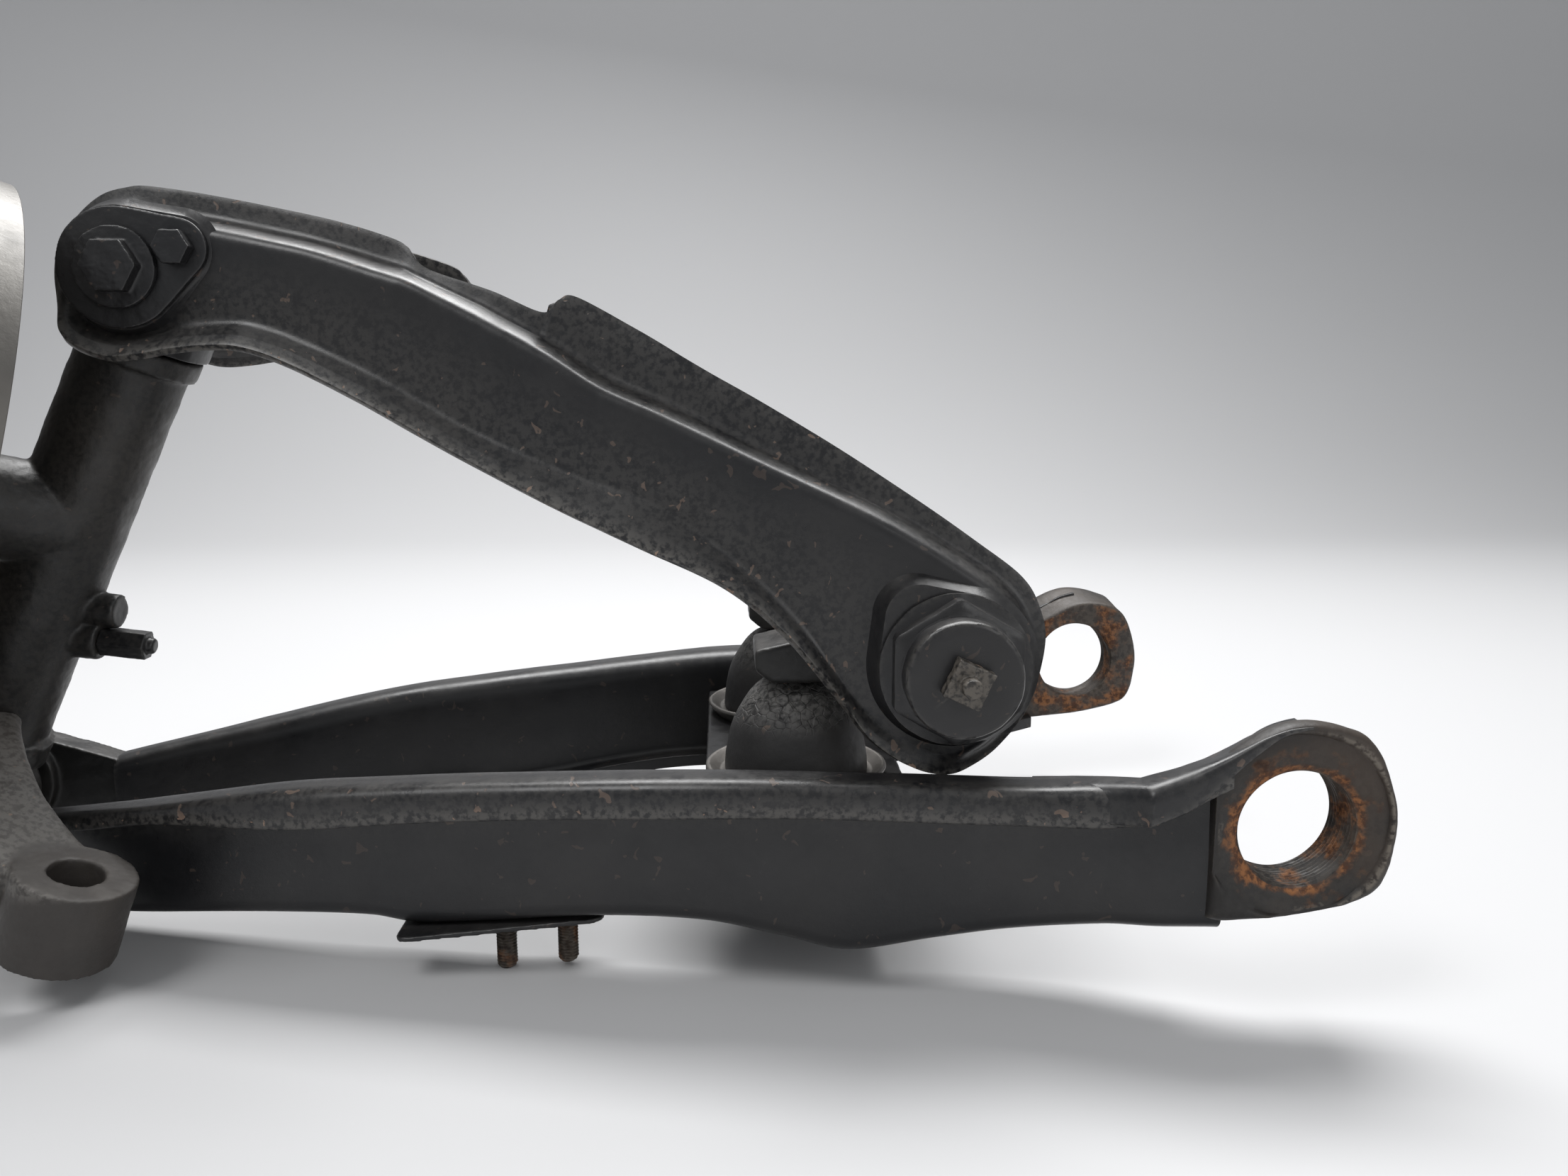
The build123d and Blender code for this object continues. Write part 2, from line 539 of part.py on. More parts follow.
with BuildPart() as arm_half:
    for (ux, uz), (dx, dz), lip, drop, flare in ARM_STATIONS:
        upper, lower = on_web(ux, uz), on_web(dx, dz)
        rise = upper - lower
        plane = Plane(origin=lower, x_dir=rise, z_dir=rise.cross(ARM_OUT))
        deep = rise.length
        side = 1 if plane.y_dir.dot(ARM_OUT) > 0 else -1
        outline = sheet_outline([
            (-drop, side * flare), (0, 0), (deep, 0), (deep + 5, -side * ARM_BAND),
            (deep + lip, -side * (ARM_BAND + ARM_LIP))], -side * SHEET)
        with BuildSketch(plane):
            with BuildLine():
                Polyline(*outline, close=True)
            make_face()
    loft(ruled=True)
    with BuildSketch(WEB):
        with Locations(web_point(PIN_HIGH.X, PIN_HIGH.Z)):
            Circle(27)
        with Locations(web_point(SHAFT.X, SHAFT.Z)):
            Circle(37)
        with BuildLine():
            Polyline(web_point(-411, 211), web_point(-440, 205), web_point(-440, 178),
                     web_point(-411, 171), close=True)
        make_face()
        with BuildLine():
            Polyline(web_point(-97.6, 76.9), web_point(-150, 38), web_point(-130, 18), close=True)
        make_face()
    extrude(amount=-SHEET)
    with BuildSketch(Plane.XZ.offset(PAD_FACE - 5)):
        teardrop(24, 13)
    extrude(amount=5)
    with BuildSketch(Plane.XZ.offset(INNER_PAD - 8)):
        with Locations((SHAFT.X, SHAFT.Z)):
            Circle(30)
    extrude(amount=8)
    with BuildSketch(Plane.XZ.offset(20)):
        with BuildLine():
            Polyline((NOTCH[0], 190), (NOTCH[1], 173), (NOTCH[1], 230), (NOTCH[0], 230), close=True)
        make_face()
    extrude(amount=80, mode=Mode.SUBTRACT)
    drill(cross_plane(PIN_HIGH.X, -70, PIN_HIGH.Z), 13, 60)
    drill(cross_plane(LOCK_BOLT.X, -70, LOCK_BOLT.Z), 4, 60)
    drill(cross_plane(SHAFT.X, -120, SHAFT.Z), 20, 60)
both_sides(arm_half, "upper_arm_half")

with BuildPart() as upper_bush:
    plate_face = PAD_FACE + LOCK_PLATE
    ring(cross_plane(PIN_HIGH.X, -plate_face, PIN_HIGH.Z), 13, 0, plate_face - HEAD_HALF - 2.6)
    ring(cross_plane(PIN_HIGH.X, -plate_face - 2.5, PIN_HIGH.Z), 15, 0, 2.5)
    hexagon(cross_plane(PIN_HIGH.X, -plate_face - 7.5, PIN_HIGH.Z), 18, 5)
    drill(cross_plane(PIN_HIGH.X, -48, PIN_HIGH.Z), HIGH_PIN_R + RUN, 40)
both_sides(upper_bush, "upper_outer_bush")

with BuildPart() as lock_plate:
    with BuildSketch(Plane.XZ.offset(PAD_FACE)):
        teardrop(22, 11)
        with Locations((PIN_HIGH.X, PIN_HIGH.Z)):
            Circle(13, mode=Mode.SUBTRACT)
        with Locations((LOCK_BOLT.X, LOCK_BOLT.Z)):
            Circle(4, mode=Mode.SUBTRACT)
    extrude(amount=LOCK_PLATE)
both_sides(lock_plate, "lock_plate")

with BuildPart() as lock_bolt:
    ring(cross_plane(LOCK_BOLT.X, -plate_face, LOCK_BOLT.Z), 4, 0, 12)
    hexagon(cross_plane(LOCK_BOLT.X, -plate_face - 5.5, LOCK_BOLT.Z), 12, 5.5)
pair(lock_bolt, "lock_bolts")

with BuildPart() as upper_seal:
    ring(cross_plane(PIN_HIGH.X, -HEAD_HALF - 2.5, PIN_HIGH.Z), 17, HIGH_PIN_R + GAP, 2.1)
pair(upper_seal, "upper_outer_seals")

with BuildPart() as inner_bush:
    ring(cross_plane(SHAFT.X, -INNER_PAD, SHAFT.Z), 20, 0, 20)
    ring(cross_plane(SHAFT.X, -INNER_PAD - 2.5, SHAFT.Z), 28, 0, 2.5)
    hexagon(cross_plane(SHAFT.X, -INNER_PAD - 8.5, SHAFT.Z), 47, 6)
    ring(cross_plane(SHAFT.X, -118, SHAFT.Z), 21, 0, 118 - INNER_PAD - 8.5)
    drill(cross_plane(SHAFT.X, -112, SHAFT.Z), SHAFT_R + RUN, 60)
    drill(cross_plane(SHAFT.X, -119, SHAFT.Z), 6, 8)
both_sides(inner_bush, "upper_inner_bush")

with BuildPart() as grease_plug:
    ring(cross_plane(SHAFT.X, -118, SHAFT.Z), 5.9, 0, 5.5)
    with BuildSketch(cross_plane(SHAFT.X, -124, SHAFT.Z)):
        Rectangle(14, 14, rotation=25)
    extrude(amount=6)
    ring(cross_plane(SHAFT.X, -130, SHAFT.Z), 3.4, 0, 6)
both_sides(grease_plug, "grease_plug")

with BuildPart() as inner_seal:
    ring(cross_plane(SHAFT.X, -78, SHAFT.Z), 21, SHAFT_R + GAP, 5)
pair(inner_seal, "upper_inner_seals")

# ---------------------------------------------------------------- upper pivot shaft
LUG_TIP, LUG_WIDE, LUG_HOLE_X = -183.0, 34.0, -134.0
with BuildPart() as pivot_shaft:
    ring(cross_plane(SHAFT.X, -110, SHAFT.Z), SHAFT_R, 0, 220)
    ring(cross_plane(SHAFT.X, -LUG_Y - 15, SHAFT.Z), 16, 0, 2 * LUG_Y + 30)
    for y in (-LUG_Y, LUG_Y):
        with BuildSketch(Plane(origin=(0, y + LUG_WIDE / 2, 0), x_dir=(1, 0, 0), z_dir=(0, -1, 0))):
            with BuildLine():
                Polyline((LUG_TIP, LUG_LOW + 5), (LUG_TIP + 6, LUG_LOW), (SHAFT.X, LUG_LOW),
                         (SHAFT.X, LUG_HIGH + 5), (LUG_TIP + 26, LUG_HIGH), (LUG_TIP, LUG_HIGH - 6),
                         close=True)
            make_face()
        extrude(amount=LUG_WIDE)
    with BuildSketch(Plane.XY.offset(LUG_LOW - 5)):
        with Locations((LUG_HOLE_X, -LUG_Y), (LUG_HOLE_X, LUG_Y)):
            Circle(6.5)
    extrude(amount=40, mode=Mode.SUBTRACT)
pieces["upper_pivot_shaft"] = pivot_shaft

# ---------------------------------------------------------------- write every piece
for name, piece in pieces.items():
    piece.part.label = name
    export_step(piece.part, f"parts/{name}.step")
print(len(pieces), "pieces")
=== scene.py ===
import json
from math import atan2, cos, pi, radians, sin, sqrt, hypot

import bmesh
import bpy
from mathutils import Matrix, Vector, noise

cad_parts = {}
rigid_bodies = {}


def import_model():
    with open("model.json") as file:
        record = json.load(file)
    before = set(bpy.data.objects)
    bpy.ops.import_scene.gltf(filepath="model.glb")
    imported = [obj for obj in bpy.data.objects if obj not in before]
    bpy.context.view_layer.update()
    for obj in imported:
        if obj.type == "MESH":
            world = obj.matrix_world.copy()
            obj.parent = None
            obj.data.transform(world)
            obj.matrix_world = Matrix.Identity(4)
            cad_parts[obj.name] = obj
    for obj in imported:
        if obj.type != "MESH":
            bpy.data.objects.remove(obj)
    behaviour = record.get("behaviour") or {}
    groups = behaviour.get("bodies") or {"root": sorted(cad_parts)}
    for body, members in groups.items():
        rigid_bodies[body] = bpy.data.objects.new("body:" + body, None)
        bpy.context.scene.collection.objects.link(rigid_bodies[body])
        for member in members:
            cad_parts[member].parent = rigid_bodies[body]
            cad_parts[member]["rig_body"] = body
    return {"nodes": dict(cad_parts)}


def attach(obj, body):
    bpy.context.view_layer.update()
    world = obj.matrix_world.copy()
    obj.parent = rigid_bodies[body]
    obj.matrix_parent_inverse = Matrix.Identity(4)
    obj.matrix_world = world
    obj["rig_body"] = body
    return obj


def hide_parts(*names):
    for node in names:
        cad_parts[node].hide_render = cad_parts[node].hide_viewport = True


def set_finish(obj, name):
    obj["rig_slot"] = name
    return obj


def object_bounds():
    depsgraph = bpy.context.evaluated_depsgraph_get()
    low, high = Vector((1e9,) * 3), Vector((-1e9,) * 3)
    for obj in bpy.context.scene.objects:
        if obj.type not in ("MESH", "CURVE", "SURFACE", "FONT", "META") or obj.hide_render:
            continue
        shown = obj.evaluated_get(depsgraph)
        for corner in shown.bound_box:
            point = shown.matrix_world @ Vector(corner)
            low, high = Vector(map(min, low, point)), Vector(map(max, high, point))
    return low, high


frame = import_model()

CAD_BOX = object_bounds()
MM = 0.001

# ---------------------------------------------------------------- measures that follow the CAD, in mm
OUTER = 141.9         # outermost distance from the middle that the lower arm's visible pieces reach
# the leg by x: its distance from the middle, and the heights of its top, bead lip and lower edge
LEG_Y = ((-478, 43), (-440, 54), (-400, 63), (-340, 76), (-280, 87), (-200, 103),
         (-160, 107), (-100, 112), (-60, 120.5), (-44, 128), (-30, 133))
LEG_TOP = ((-478, -21), (-440, -14.5), (-400, -7), (-360, 0), (-320, 4), (-280, 7), (-200, 12),
           (-140, 11.5), (-86, 11), (-52, 14), (-40, 17), (-30, 22))
LEG_LIP = ((-478, -28), (-445, -22.5), (-415, -17), (-357, -14.3), (-313, -9.4), (-276, -6.3),
           (-230, -3.2), (-176, -0.8), (-110, -2.3), (-70, -2), (-55, -1), (-44, 3), (-30, 13))
LEG_LOW = ((-478, -59), (-434, -58), (-368, -53), (-331, -51.5), (-313, -53.4), (-284, -51), (-242, -46),
           (-202, -45.2), (-174, -50.4), (-151, -55.4), (-119, -50.5), (-92, -46), (-30, -37.5))
# how far the bead stands out from the web
LEG_PROUD = ((-478, 0.6), (-445, 1.2), (-415, 5), (-357, 8), (-30, 8))
# outline of the inner eye about its bore; the upper part is lower at the rear than at the front
EYE_SIDE = ((-30, -29), (-29.2, -31.6), (-24, -32.4), (-12, -31.3), (0, -30.2), (14, -27.6),
            (24, -24.8), (29.2, -21.4), (32, -15.5), (33.3, -8.4), (34, 0), (33.1, 8.4), (30.6, 16.8))
EYE_FRONT = EYE_SIDE + ((27.3, 25.5), (21.8, 32.4), (15.2, 35.2), (9, 37), (2, 38), (-4, 37.7), (-9.5, 36.2),
                        (-15, 33.6), (-22, 29), (-27, 25), (-29.4, 22), (-30, 18))
EYE_REAR = EYE_SIDE + ((27.3, 24), (23.5, 28), (19.2, 30.4), (12.9, 31.6), (6, 32.1), (0, 31.2), (-5.5, 29.2),
                       (-11.5, 26.2), (-20.4, 21.8), (-27, 18.6), (-29.4, 16.6), (-30, 13))
EYE_BORE_R, THREAD_PITCH, THREAD_DEPTH = 20.5, 1.9, 0.8
EYE_FACE, RECESS_X, RECESS_Z, RECESS_R = 140.1, -1.5, 2, 32
# x and z of the upper arm's outer pin, lock bolt and inner shaft
PIN_HIGH, LOCK_BOLT, SHAFT = (-417.5, 192.5), (-395.5, 199.5), (-111.0, 48.0)

# pressed half of the upper arm, round its rim: bend x z, edge x z, and how far the edge leans out
RIM = (
    (-409.7, 211, -411, 224.3, -12), (-386.4, 206.6, -384.8, 220.2, -12.5), (-348, 198.4, -341.7, 211.2, -13),
    (-323, 190.9, -317.5, 203.9, -14), (-316, 188.6, -311.5, 199.5, -13), (-308.4, 186.2, -304.5, 192.7, -12),
    (-285.3, 174.2, -281, 184.6, -12), (-268, 165, -261.5, 176.4, -12), (-262, 161.8, -255.5, 181, -14),
    (-256, 158.4, -248.5, 182, -14.5), (-239.4, 147.8, -226, 170, -14.5), (-216.2, 137.6, -205, 157.5, -14),
    (-174.1, 117.8, -164, 134, -13), (-135.8, 99.6, -126, 109.8, -12), (-110, 84.5, -100, 91.8, -12),
    (-95, 74, -84.5, 79.8, -12), (-87, 63, -77.7, 68.7, -12), (-83.5, 52, -75, 54.1, -12),
    (-86, 36, -80.3, 30.9, -11), (-94, 23.5, -91, 16.5, -8), (-103, 16.5, -101.5, 9, -4.5),
    (-112, 14, -112, 6, -0.5), (-123, 16, -125.5, 9.4, 2.5), (-137, 24.5, -141, 20.1, 3.5),
    (-147.9, 35.8, -153, 37.2, 4.5), (-166.3, 62.3, -171, 58.9, 7), (-187.1, 83.2, -192.5, 77, 9),
    (-217, 105.2, -224, 90.9, 9.5), (-251.8, 117.8, -258.5, 107, 9), (-287.1, 132.8, -292, 124.8, 9),
    (-322.4, 152.5, -327.5, 144.4, 9), (-350.5, 165.6, -354.5, 157.8, 9), (-369.5, 172, -371.5, 163.4, 9),
    (-384.5, 172.7, -384.5, 164.2, 9), (-400, 171.3, -399, 163.1, 9), (-413, 170, -412, 161, 9),
    (-425, 170, -424.5, 160.4, 9), (-434, 173, -436, 164.5, 9), (-439, 179, -442.5, 170, 7.5),
    (-442, 186, -446, 180, 1), (-443.5, 195, -450.5, 193, -7), (-441.5, 204, -449.5, 204, -11),
    (-436, 210.5, -441.5, 214.5, -12), (-428, 214, -431.8, 221.3, -12), (-419, 214, -421.5, 224, -12))


# ---------------------------------------------------------------- small maths
def smooth(a, b, t):
    """0 below a, 1 above b, eased between."""
    t = min(max((t - a) / (b - a), 0.0), 1.0)
    return t * t * (3 - 2 * t)


def spline(p0, p1, p2, p3, t):
    """Catmull-Rom between p1 and p2."""
    return tuple(0.5 * (2 * b + (c - a) * t + (2 * a - 5 * b + 4 * c - d) * t * t
                        + (3 * b - a - 3 * c + d) * t ** 3) for a, b, c, d in zip(p0, p1, p2, p3))


def at(x, table):
    """Smooth value of a table at x."""
    last = len(table) - 1
    i = next((k for k in range(last) if x <= table[k + 1][0]), last - 1)
    (x0, v0), (x1, v1) = table[i], table[i + 1]

    def slope(k):
        a, b = table[max(k - 1, 0)], table[min(k + 1, last)]
        return (b[1] - a[1]) / (b[0] - a[0])
    w, t = x1 - x0, (x - x0) / (x1 - x0)
    return ((2 * t ** 3 - 3 * t * t + 1) * v0 + (t ** 3 - 2 * t * t + t) * w * slope(i)
            + (3 * t * t - 2 * t ** 3) * v1 + (t ** 3 - t * t) * w * slope(i + 1))


def rounded(corners, steps=6, between=3, closed=True):
    """Polygon with each corner (x, y, radius) rounded; every call gives the same count of points."""
    n, out = len(corners), []
    for i, (x, y, r) in enumerate(corners):
        p, here, q = Vector(corners[i - 1][:2]), Vector((x, y)), Vector(corners[(i + 1) % n][:2])
        if not closed and i in (0, n - 1):
            arc = [here]
        else:
            a, b = p - here, q - here
            la, lb = max(a.length, 1e-6), max(b.length, 1e-6)
            a, b = a / la, b / lb
            half = max(a.angle(b, pi) / 2, 0.02)
            cut = min(r / max(abs(sin(half) / cos(half)), 0.02), 0.48 * la, 0.48 * lb)
            start, end = here + a * cut, here + b * cut
            arc = [start.lerp(here, k / steps).lerp(here.lerp(end, k / steps), k / steps)
                   for k in range(steps + 1)]
        if out and between:
            out += [out[-1].lerp(arc[0], k / (between + 1)) for k in range(1, between + 1)]
        out += arc
    if closed and between:
        out += [out[-1].lerp(out[0], k / (between + 1)) for k in range(1, between + 1)]
    return out


def rough(point, size, depth):
    """Signed lumpy noise, in mm, for a point in mm."""
    return depth * noise.noise(Vector(point) / size)


# ---------------------------------------------------------------- making pieces
def linked(name, data):
    """New object in the scene, from a mesh, a light or a camera."""
    obj = bpy.data.objects.new(name, data)
    bpy.context.scene.collection.objects.link(obj)
    return obj


def merged_mesh(name, nodes, flatten=False):
    """CAD nodes as one welded mesh; flatten joins the triangles of each flat face."""
    bm = bmesh.new()
    for node in nodes:
        bm.from_mesh(frame["nodes"][node].data)
    bmesh.ops.remove_doubles(bm, verts=bm.verts, dist=1e-6)
    if flatten:
        bmesh.ops.dissolve_limit(bm, angle_limit=radians(0.6), verts=bm.verts, edges=bm.edges)
    mesh = bpy.data.meshes.new(name)
    bm.to_mesh(mesh)
    bm.free()
    return mesh


def break_edges(obj, width, segments, angle):
    bevel = obj.modifiers.new("edge", "BEVEL")
    bevel.width, bevel.segments = width * MM, segments
    bevel.limit_method, bevel.angle_limit = "ANGLE", radians(angle)


def piece(name, verts, faces, body, slot, nodes, wear_and_highlight=None, rust=None, sharp=38):
    """Object from points in mm, riding on a body and standing for CAD nodes."""
    mesh = bpy.data.meshes.new(name)
    mesh.from_pydata([Vector(v) * MM for v in verts], [], faces)
    mesh.validate()
    for key, values in (("wear_and_highlight", wear_and_highlight), ("rust", rust)):
        if values:
            layer = mesh.attributes.new(key, "FLOAT", "POINT")
            layer.data.foreach_set("value", values)
    return settle(linked(name, mesh), body, slot, nodes, sharp)


def settle(obj, body, slot, nodes, sharp=38):
    """Shades a piece, gives it its finish, hangs it on the body it rides on and hides the CAD nodes it stands
    for.
    """
    mesh = obj.data
    mesh.polygons.foreach_set("use_smooth", [True] * len(mesh.polygons))
    mesh.set_sharp_from_angle(angle=radians(sharp))
    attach(obj, body)
    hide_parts(*nodes)
    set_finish(obj, slot)
    mesh.materials.clear()
    mesh.materials.append(FINISH[slot])
    return obj


def outward(obj):
    """Turns every face to point out of the closed mesh."""
    bm = bmesh.new()
    bm.from_mesh(obj.data)
    bmesh.ops.recalc_face_normals(bm, faces=bm.faces)
    bm.to_mesh(obj.data)
    bm.free()


def rear_of(front, name, nodes):
    """Mirror image of a front piece, on the other side of the middle."""
    mesh = front.data.copy()
    mesh.transform(Matrix.Scale(-1, 4, (0, 1, 0)))
    mesh.flip_normals()
    obj = linked(name, mesh)
    for mod in front.modifiers:
        new = obj.modifiers.new(mod.name, mod.type)
        for prop in mod.bl_rna.properties:
            if not prop.is_readonly and prop.identifier != "name":
                setattr(new, prop.identifier, getattr(mod, prop.identifier))
    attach(obj, front["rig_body"])
    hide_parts(*nodes)
    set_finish(obj, front["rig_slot"])
    return obj


def strips(rows, closed_rows=False, closed_columns=False):
    """Vertices and quads of a grid of points."""
    n = len(rows[0])
    verts = [p for row in rows for p in row]
    faces = []
    for i in range(len(rows) if closed_rows else len(rows) - 1):
        for j in range(n if closed_columns else n - 1):
            a, b = i * n, ((i + 1) % len(rows)) * n
            faces.append((a + j, a + (j + 1) % n, b + (j + 1) % n, b + j))
    return verts, faces


def forged(name, nodes, body, slot, voxel=0.9, passes=6, lumps=0.18, size=7.0, rust=None, wear_and_highlight=None):
    """CAD nodes as one soft-edged forging or casting."""
    obj = linked(name, merged_mesh(name, nodes))
    grid = obj.modifiers.new("grid", "REMESH")
    grid.mode, grid.voxel_size = "VOXEL", voxel * MM
    soft = obj.modifiers.new("soft", "SMOOTH")
    soft.factor, soft.iterations = 0.5, passes
    bpy.context.view_layer.update()
    done = bpy.data.meshes.new_from_object(obj.evaluated_get(bpy.context.evaluated_depsgraph_get()))
    obj.modifiers.clear()
    obj.data = done
    done.name = name
    normals = [v.normal.copy() for v in done.vertices]
    for v, n in zip(done.vertices, normals):
        p = v.co / MM
        v.co += n * MM * (rough(p, size, lumps) + rough(p, size / 4, lumps * 0.35))
    for key, rule in (("rust", rust), ("wear_and_highlight", wear_and_highlight)):
        if rule:
            layer = done.attributes.new(key, "FLOAT", "POINT")
            layer.data.foreach_set("value", [rule(v.co / MM) for v in done.vertices])
    return settle(obj, body, slot, nodes, 70)


def eased(name, node, body, slot, edge=0.5, segments=2):
    """Machined CAD node with broken edges."""
    obj = linked(name, merged_mesh(name, [node], flatten=True))
    break_edges(obj, edge, segments, 35)
    return settle(obj, body, slot, [node], 32)


# ---------------------------------------------------------------- materials
def finish_of(slot, base, alt, rust=((0.13, 0.06, 0.03), (0.30, 0.15, 0.07)), dust_and_highlight=(0.20, 0.19, 0.175),
              gloss=(0.36, 0.58), metal=0.0, dust_and_top_highlight=0.3, rusty=0.0, chips=0.0, edges=0.35,
              grain=0.25, pits=0.35, waves=0.25, cracks=0.0):
    """Worn metal, paint or rubber: patchy base colour, dust and painted highlight on top, bare edges, wear and
    painted highlights, rust, chips and bump.
    """
    mat = bpy.data.materials.new(slot)
    mat.use_nodes = True
    tree = mat.node_tree
    tree.nodes.clear()
    link = tree.links.new

    def node(kind, **values):
        made = tree.nodes.new("ShaderNode" + kind)
        for key, value in values.items():
            setattr(made, key, value)
        return made

    def feed(socket, value):
        if isinstance(value, bpy.types.NodeSocket):
            link(value, socket)
        elif isinstance(value, tuple) and len(value) == 3 and socket.type == "RGBA":
            socket.default_value = (*value, 1)
        else:
            socket.default_value = value

    def maths(op, a, b=0.0, clamp=False):
        made = node("Math", operation=op, use_clamp=clamp)
        feed(made.inputs[0], a)
        feed(made.inputs[1], b)
        return made.outputs[0]

    def clouds(scale, detail=4.0, sharpness=0.55, shift=0.0):
        made = node("TexNoise")
        feed(made.inputs["Vector"], place)
        feed(made.inputs["Scale"], scale)
        feed(made.inputs["Detail"], detail)
        feed(made.inputs["Roughness"], sharpness)
        feed(made.inputs["Distortion"], shift)
        return made.outputs[0]

    def ramp(value, low, high):
        made = node("MapRange", interpolation_type="SMOOTHSTEP")
        feed(made.inputs["Value"], value)
        made.inputs["From Min"].default_value, made.inputs["From Max"].default_value = low, high
        return made.outputs[0]

    def mix(amount, a, b):
        made = node("Mix", data_type="RGBA")
        feed(made.inputs[0], amount)
        feed(made.inputs[6], a)
        feed(made.inputs[7], b)
        return made.outputs[2]

    coordinates = node("TexCoord")
    place = coordinates.outputs["Object"]
    split = node("SeparateXYZ")
    link(coordinates.outputs["Normal"], split.inputs[0])
    up = split.outputs[2]
    pointy = node("NewGeometry").outputs["Pointiness"]
    wear_and_highlight_amount = node("Attribute", attribute_name="wear_and_highlight").outputs["Fac"]
    oxide = node("Attribute", attribute_name="rust").outputs["Fac"]

    broad, middle = clouds(14), clouds(70, 6, 0.6)
    fine, tiny = clouds(420, 4, 0.6), clouds(1500, 3, 0.6)

    colour = mix(ramp(broad, 0.38, 0.64), base, alt)
    # dust on up-facing surfaces, which also stands in for a painted highlight from the light above
    colour = mix(maths("MULTIPLY", maths("MULTIPLY", ramp(up, 0.1, 0.95), ramp(middle, 0.35, 0.66)), dust_and_top_highlight),
                 colour, dust_and_highlight)
    ridge = ramp(pointy, 0.515, 0.60)
    # bare edges and the per-vertex wear values turn on the light dust colour: real wear, and the painted
    # highlights that some pieces put in those values
    bare_and_highlight = maths("MULTIPLY", maths("ADD", maths("MULTIPLY", ridge, edges), wear_and_highlight_amount),
                 ramp(fine, 0.38, 0.58), clamp=True)
    colour = mix(bare_and_highlight, colour, dust_and_highlight)
    rust_colour = mix(ramp(fine, 0.4, 0.62), *rust)
    rust_colour = mix(ramp(middle, 0.56, 0.72), rust_colour, tuple(0.5 * c for c in rust[0]))
    field = maths("ADD", maths("ADD", middle, oxide), maths("MULTIPLY", wear_and_highlight_amount, 0.16))
    red = ramp(field, 0.93 - 0.42 * rusty, 1.13 - 0.42 * rusty)
    colour = mix(red, colour, rust_colour)
    spots = ramp(clouds(190, 2, 0.5, 0.6), 0.70 - 0.05 * chips, 0.72 - 0.05 * chips)
    spots = maths("MULTIPLY", spots, maths("ADD", wear_and_highlight_amount, 0.25 * chips, clamp=True), clamp=True)
    colour = mix(spots, colour, (0.30, 0.20, 0.145))

    shader = node("BsdfPrincipled")
    feed(shader.inputs["Base Color"], colour)
    shader.inputs["Metallic"].default_value = metal
    shine = node("MapRange")
    feed(shine.inputs["Value"], maths("ADD", maths("MULTIPLY", middle, 0.6), maths("MULTIPLY", fine, 0.4)))
    shine.inputs["From Min"].default_value, shine.inputs["From Max"].default_value = 0.32, 0.68
    shine.inputs["To Min"].default_value, shine.inputs["To Max"].default_value = gloss
    dull = maths("MULTIPLY", maths("ADD", red, spots, clamp=True), 0.35)
    feed(shader.inputs["Roughness"], maths("ADD", shine.outputs[0], dull, clamp=True))

    height = maths("ADD", maths("MULTIPLY", tiny, grain * 0.25), maths("MULTIPLY", fine, pits * 0.55))
    height = maths("ADD", height, maths("MULTIPLY", middle, waves))
    height = maths("SUBTRACT", height, maths("MULTIPLY", spots, 0.25))
    height = maths("ADD", height, maths("MULTIPLY", maths("MULTIPLY", red, tiny), 0.35))
    if cracks:
        cells = node("TexVoronoi", feature="DISTANCE_TO_EDGE")
        feed(cells.inputs["Vector"], place)
        feed(cells.inputs["Scale"], 260.0)
        gaps = maths("MULTIPLY", maths("SUBTRACT", 1.0, ramp(cells.outputs[0], 0.0, 0.09)), wear_and_highlight_amount)
        height = maths("SUBTRACT", height, maths("MULTIPLY", gaps, cracks))
    bump = node("Bump")
    bump.inputs["Strength"].default_value, bump.inputs["Distance"].default_value = 0.55, 0.0009
    feed(bump.inputs["Height"], height)
    link(bump.outputs[0], shader.inputs["Normal"])
    link(shader.outputs[0], node("OutputMaterial").inputs[0])
    return mat


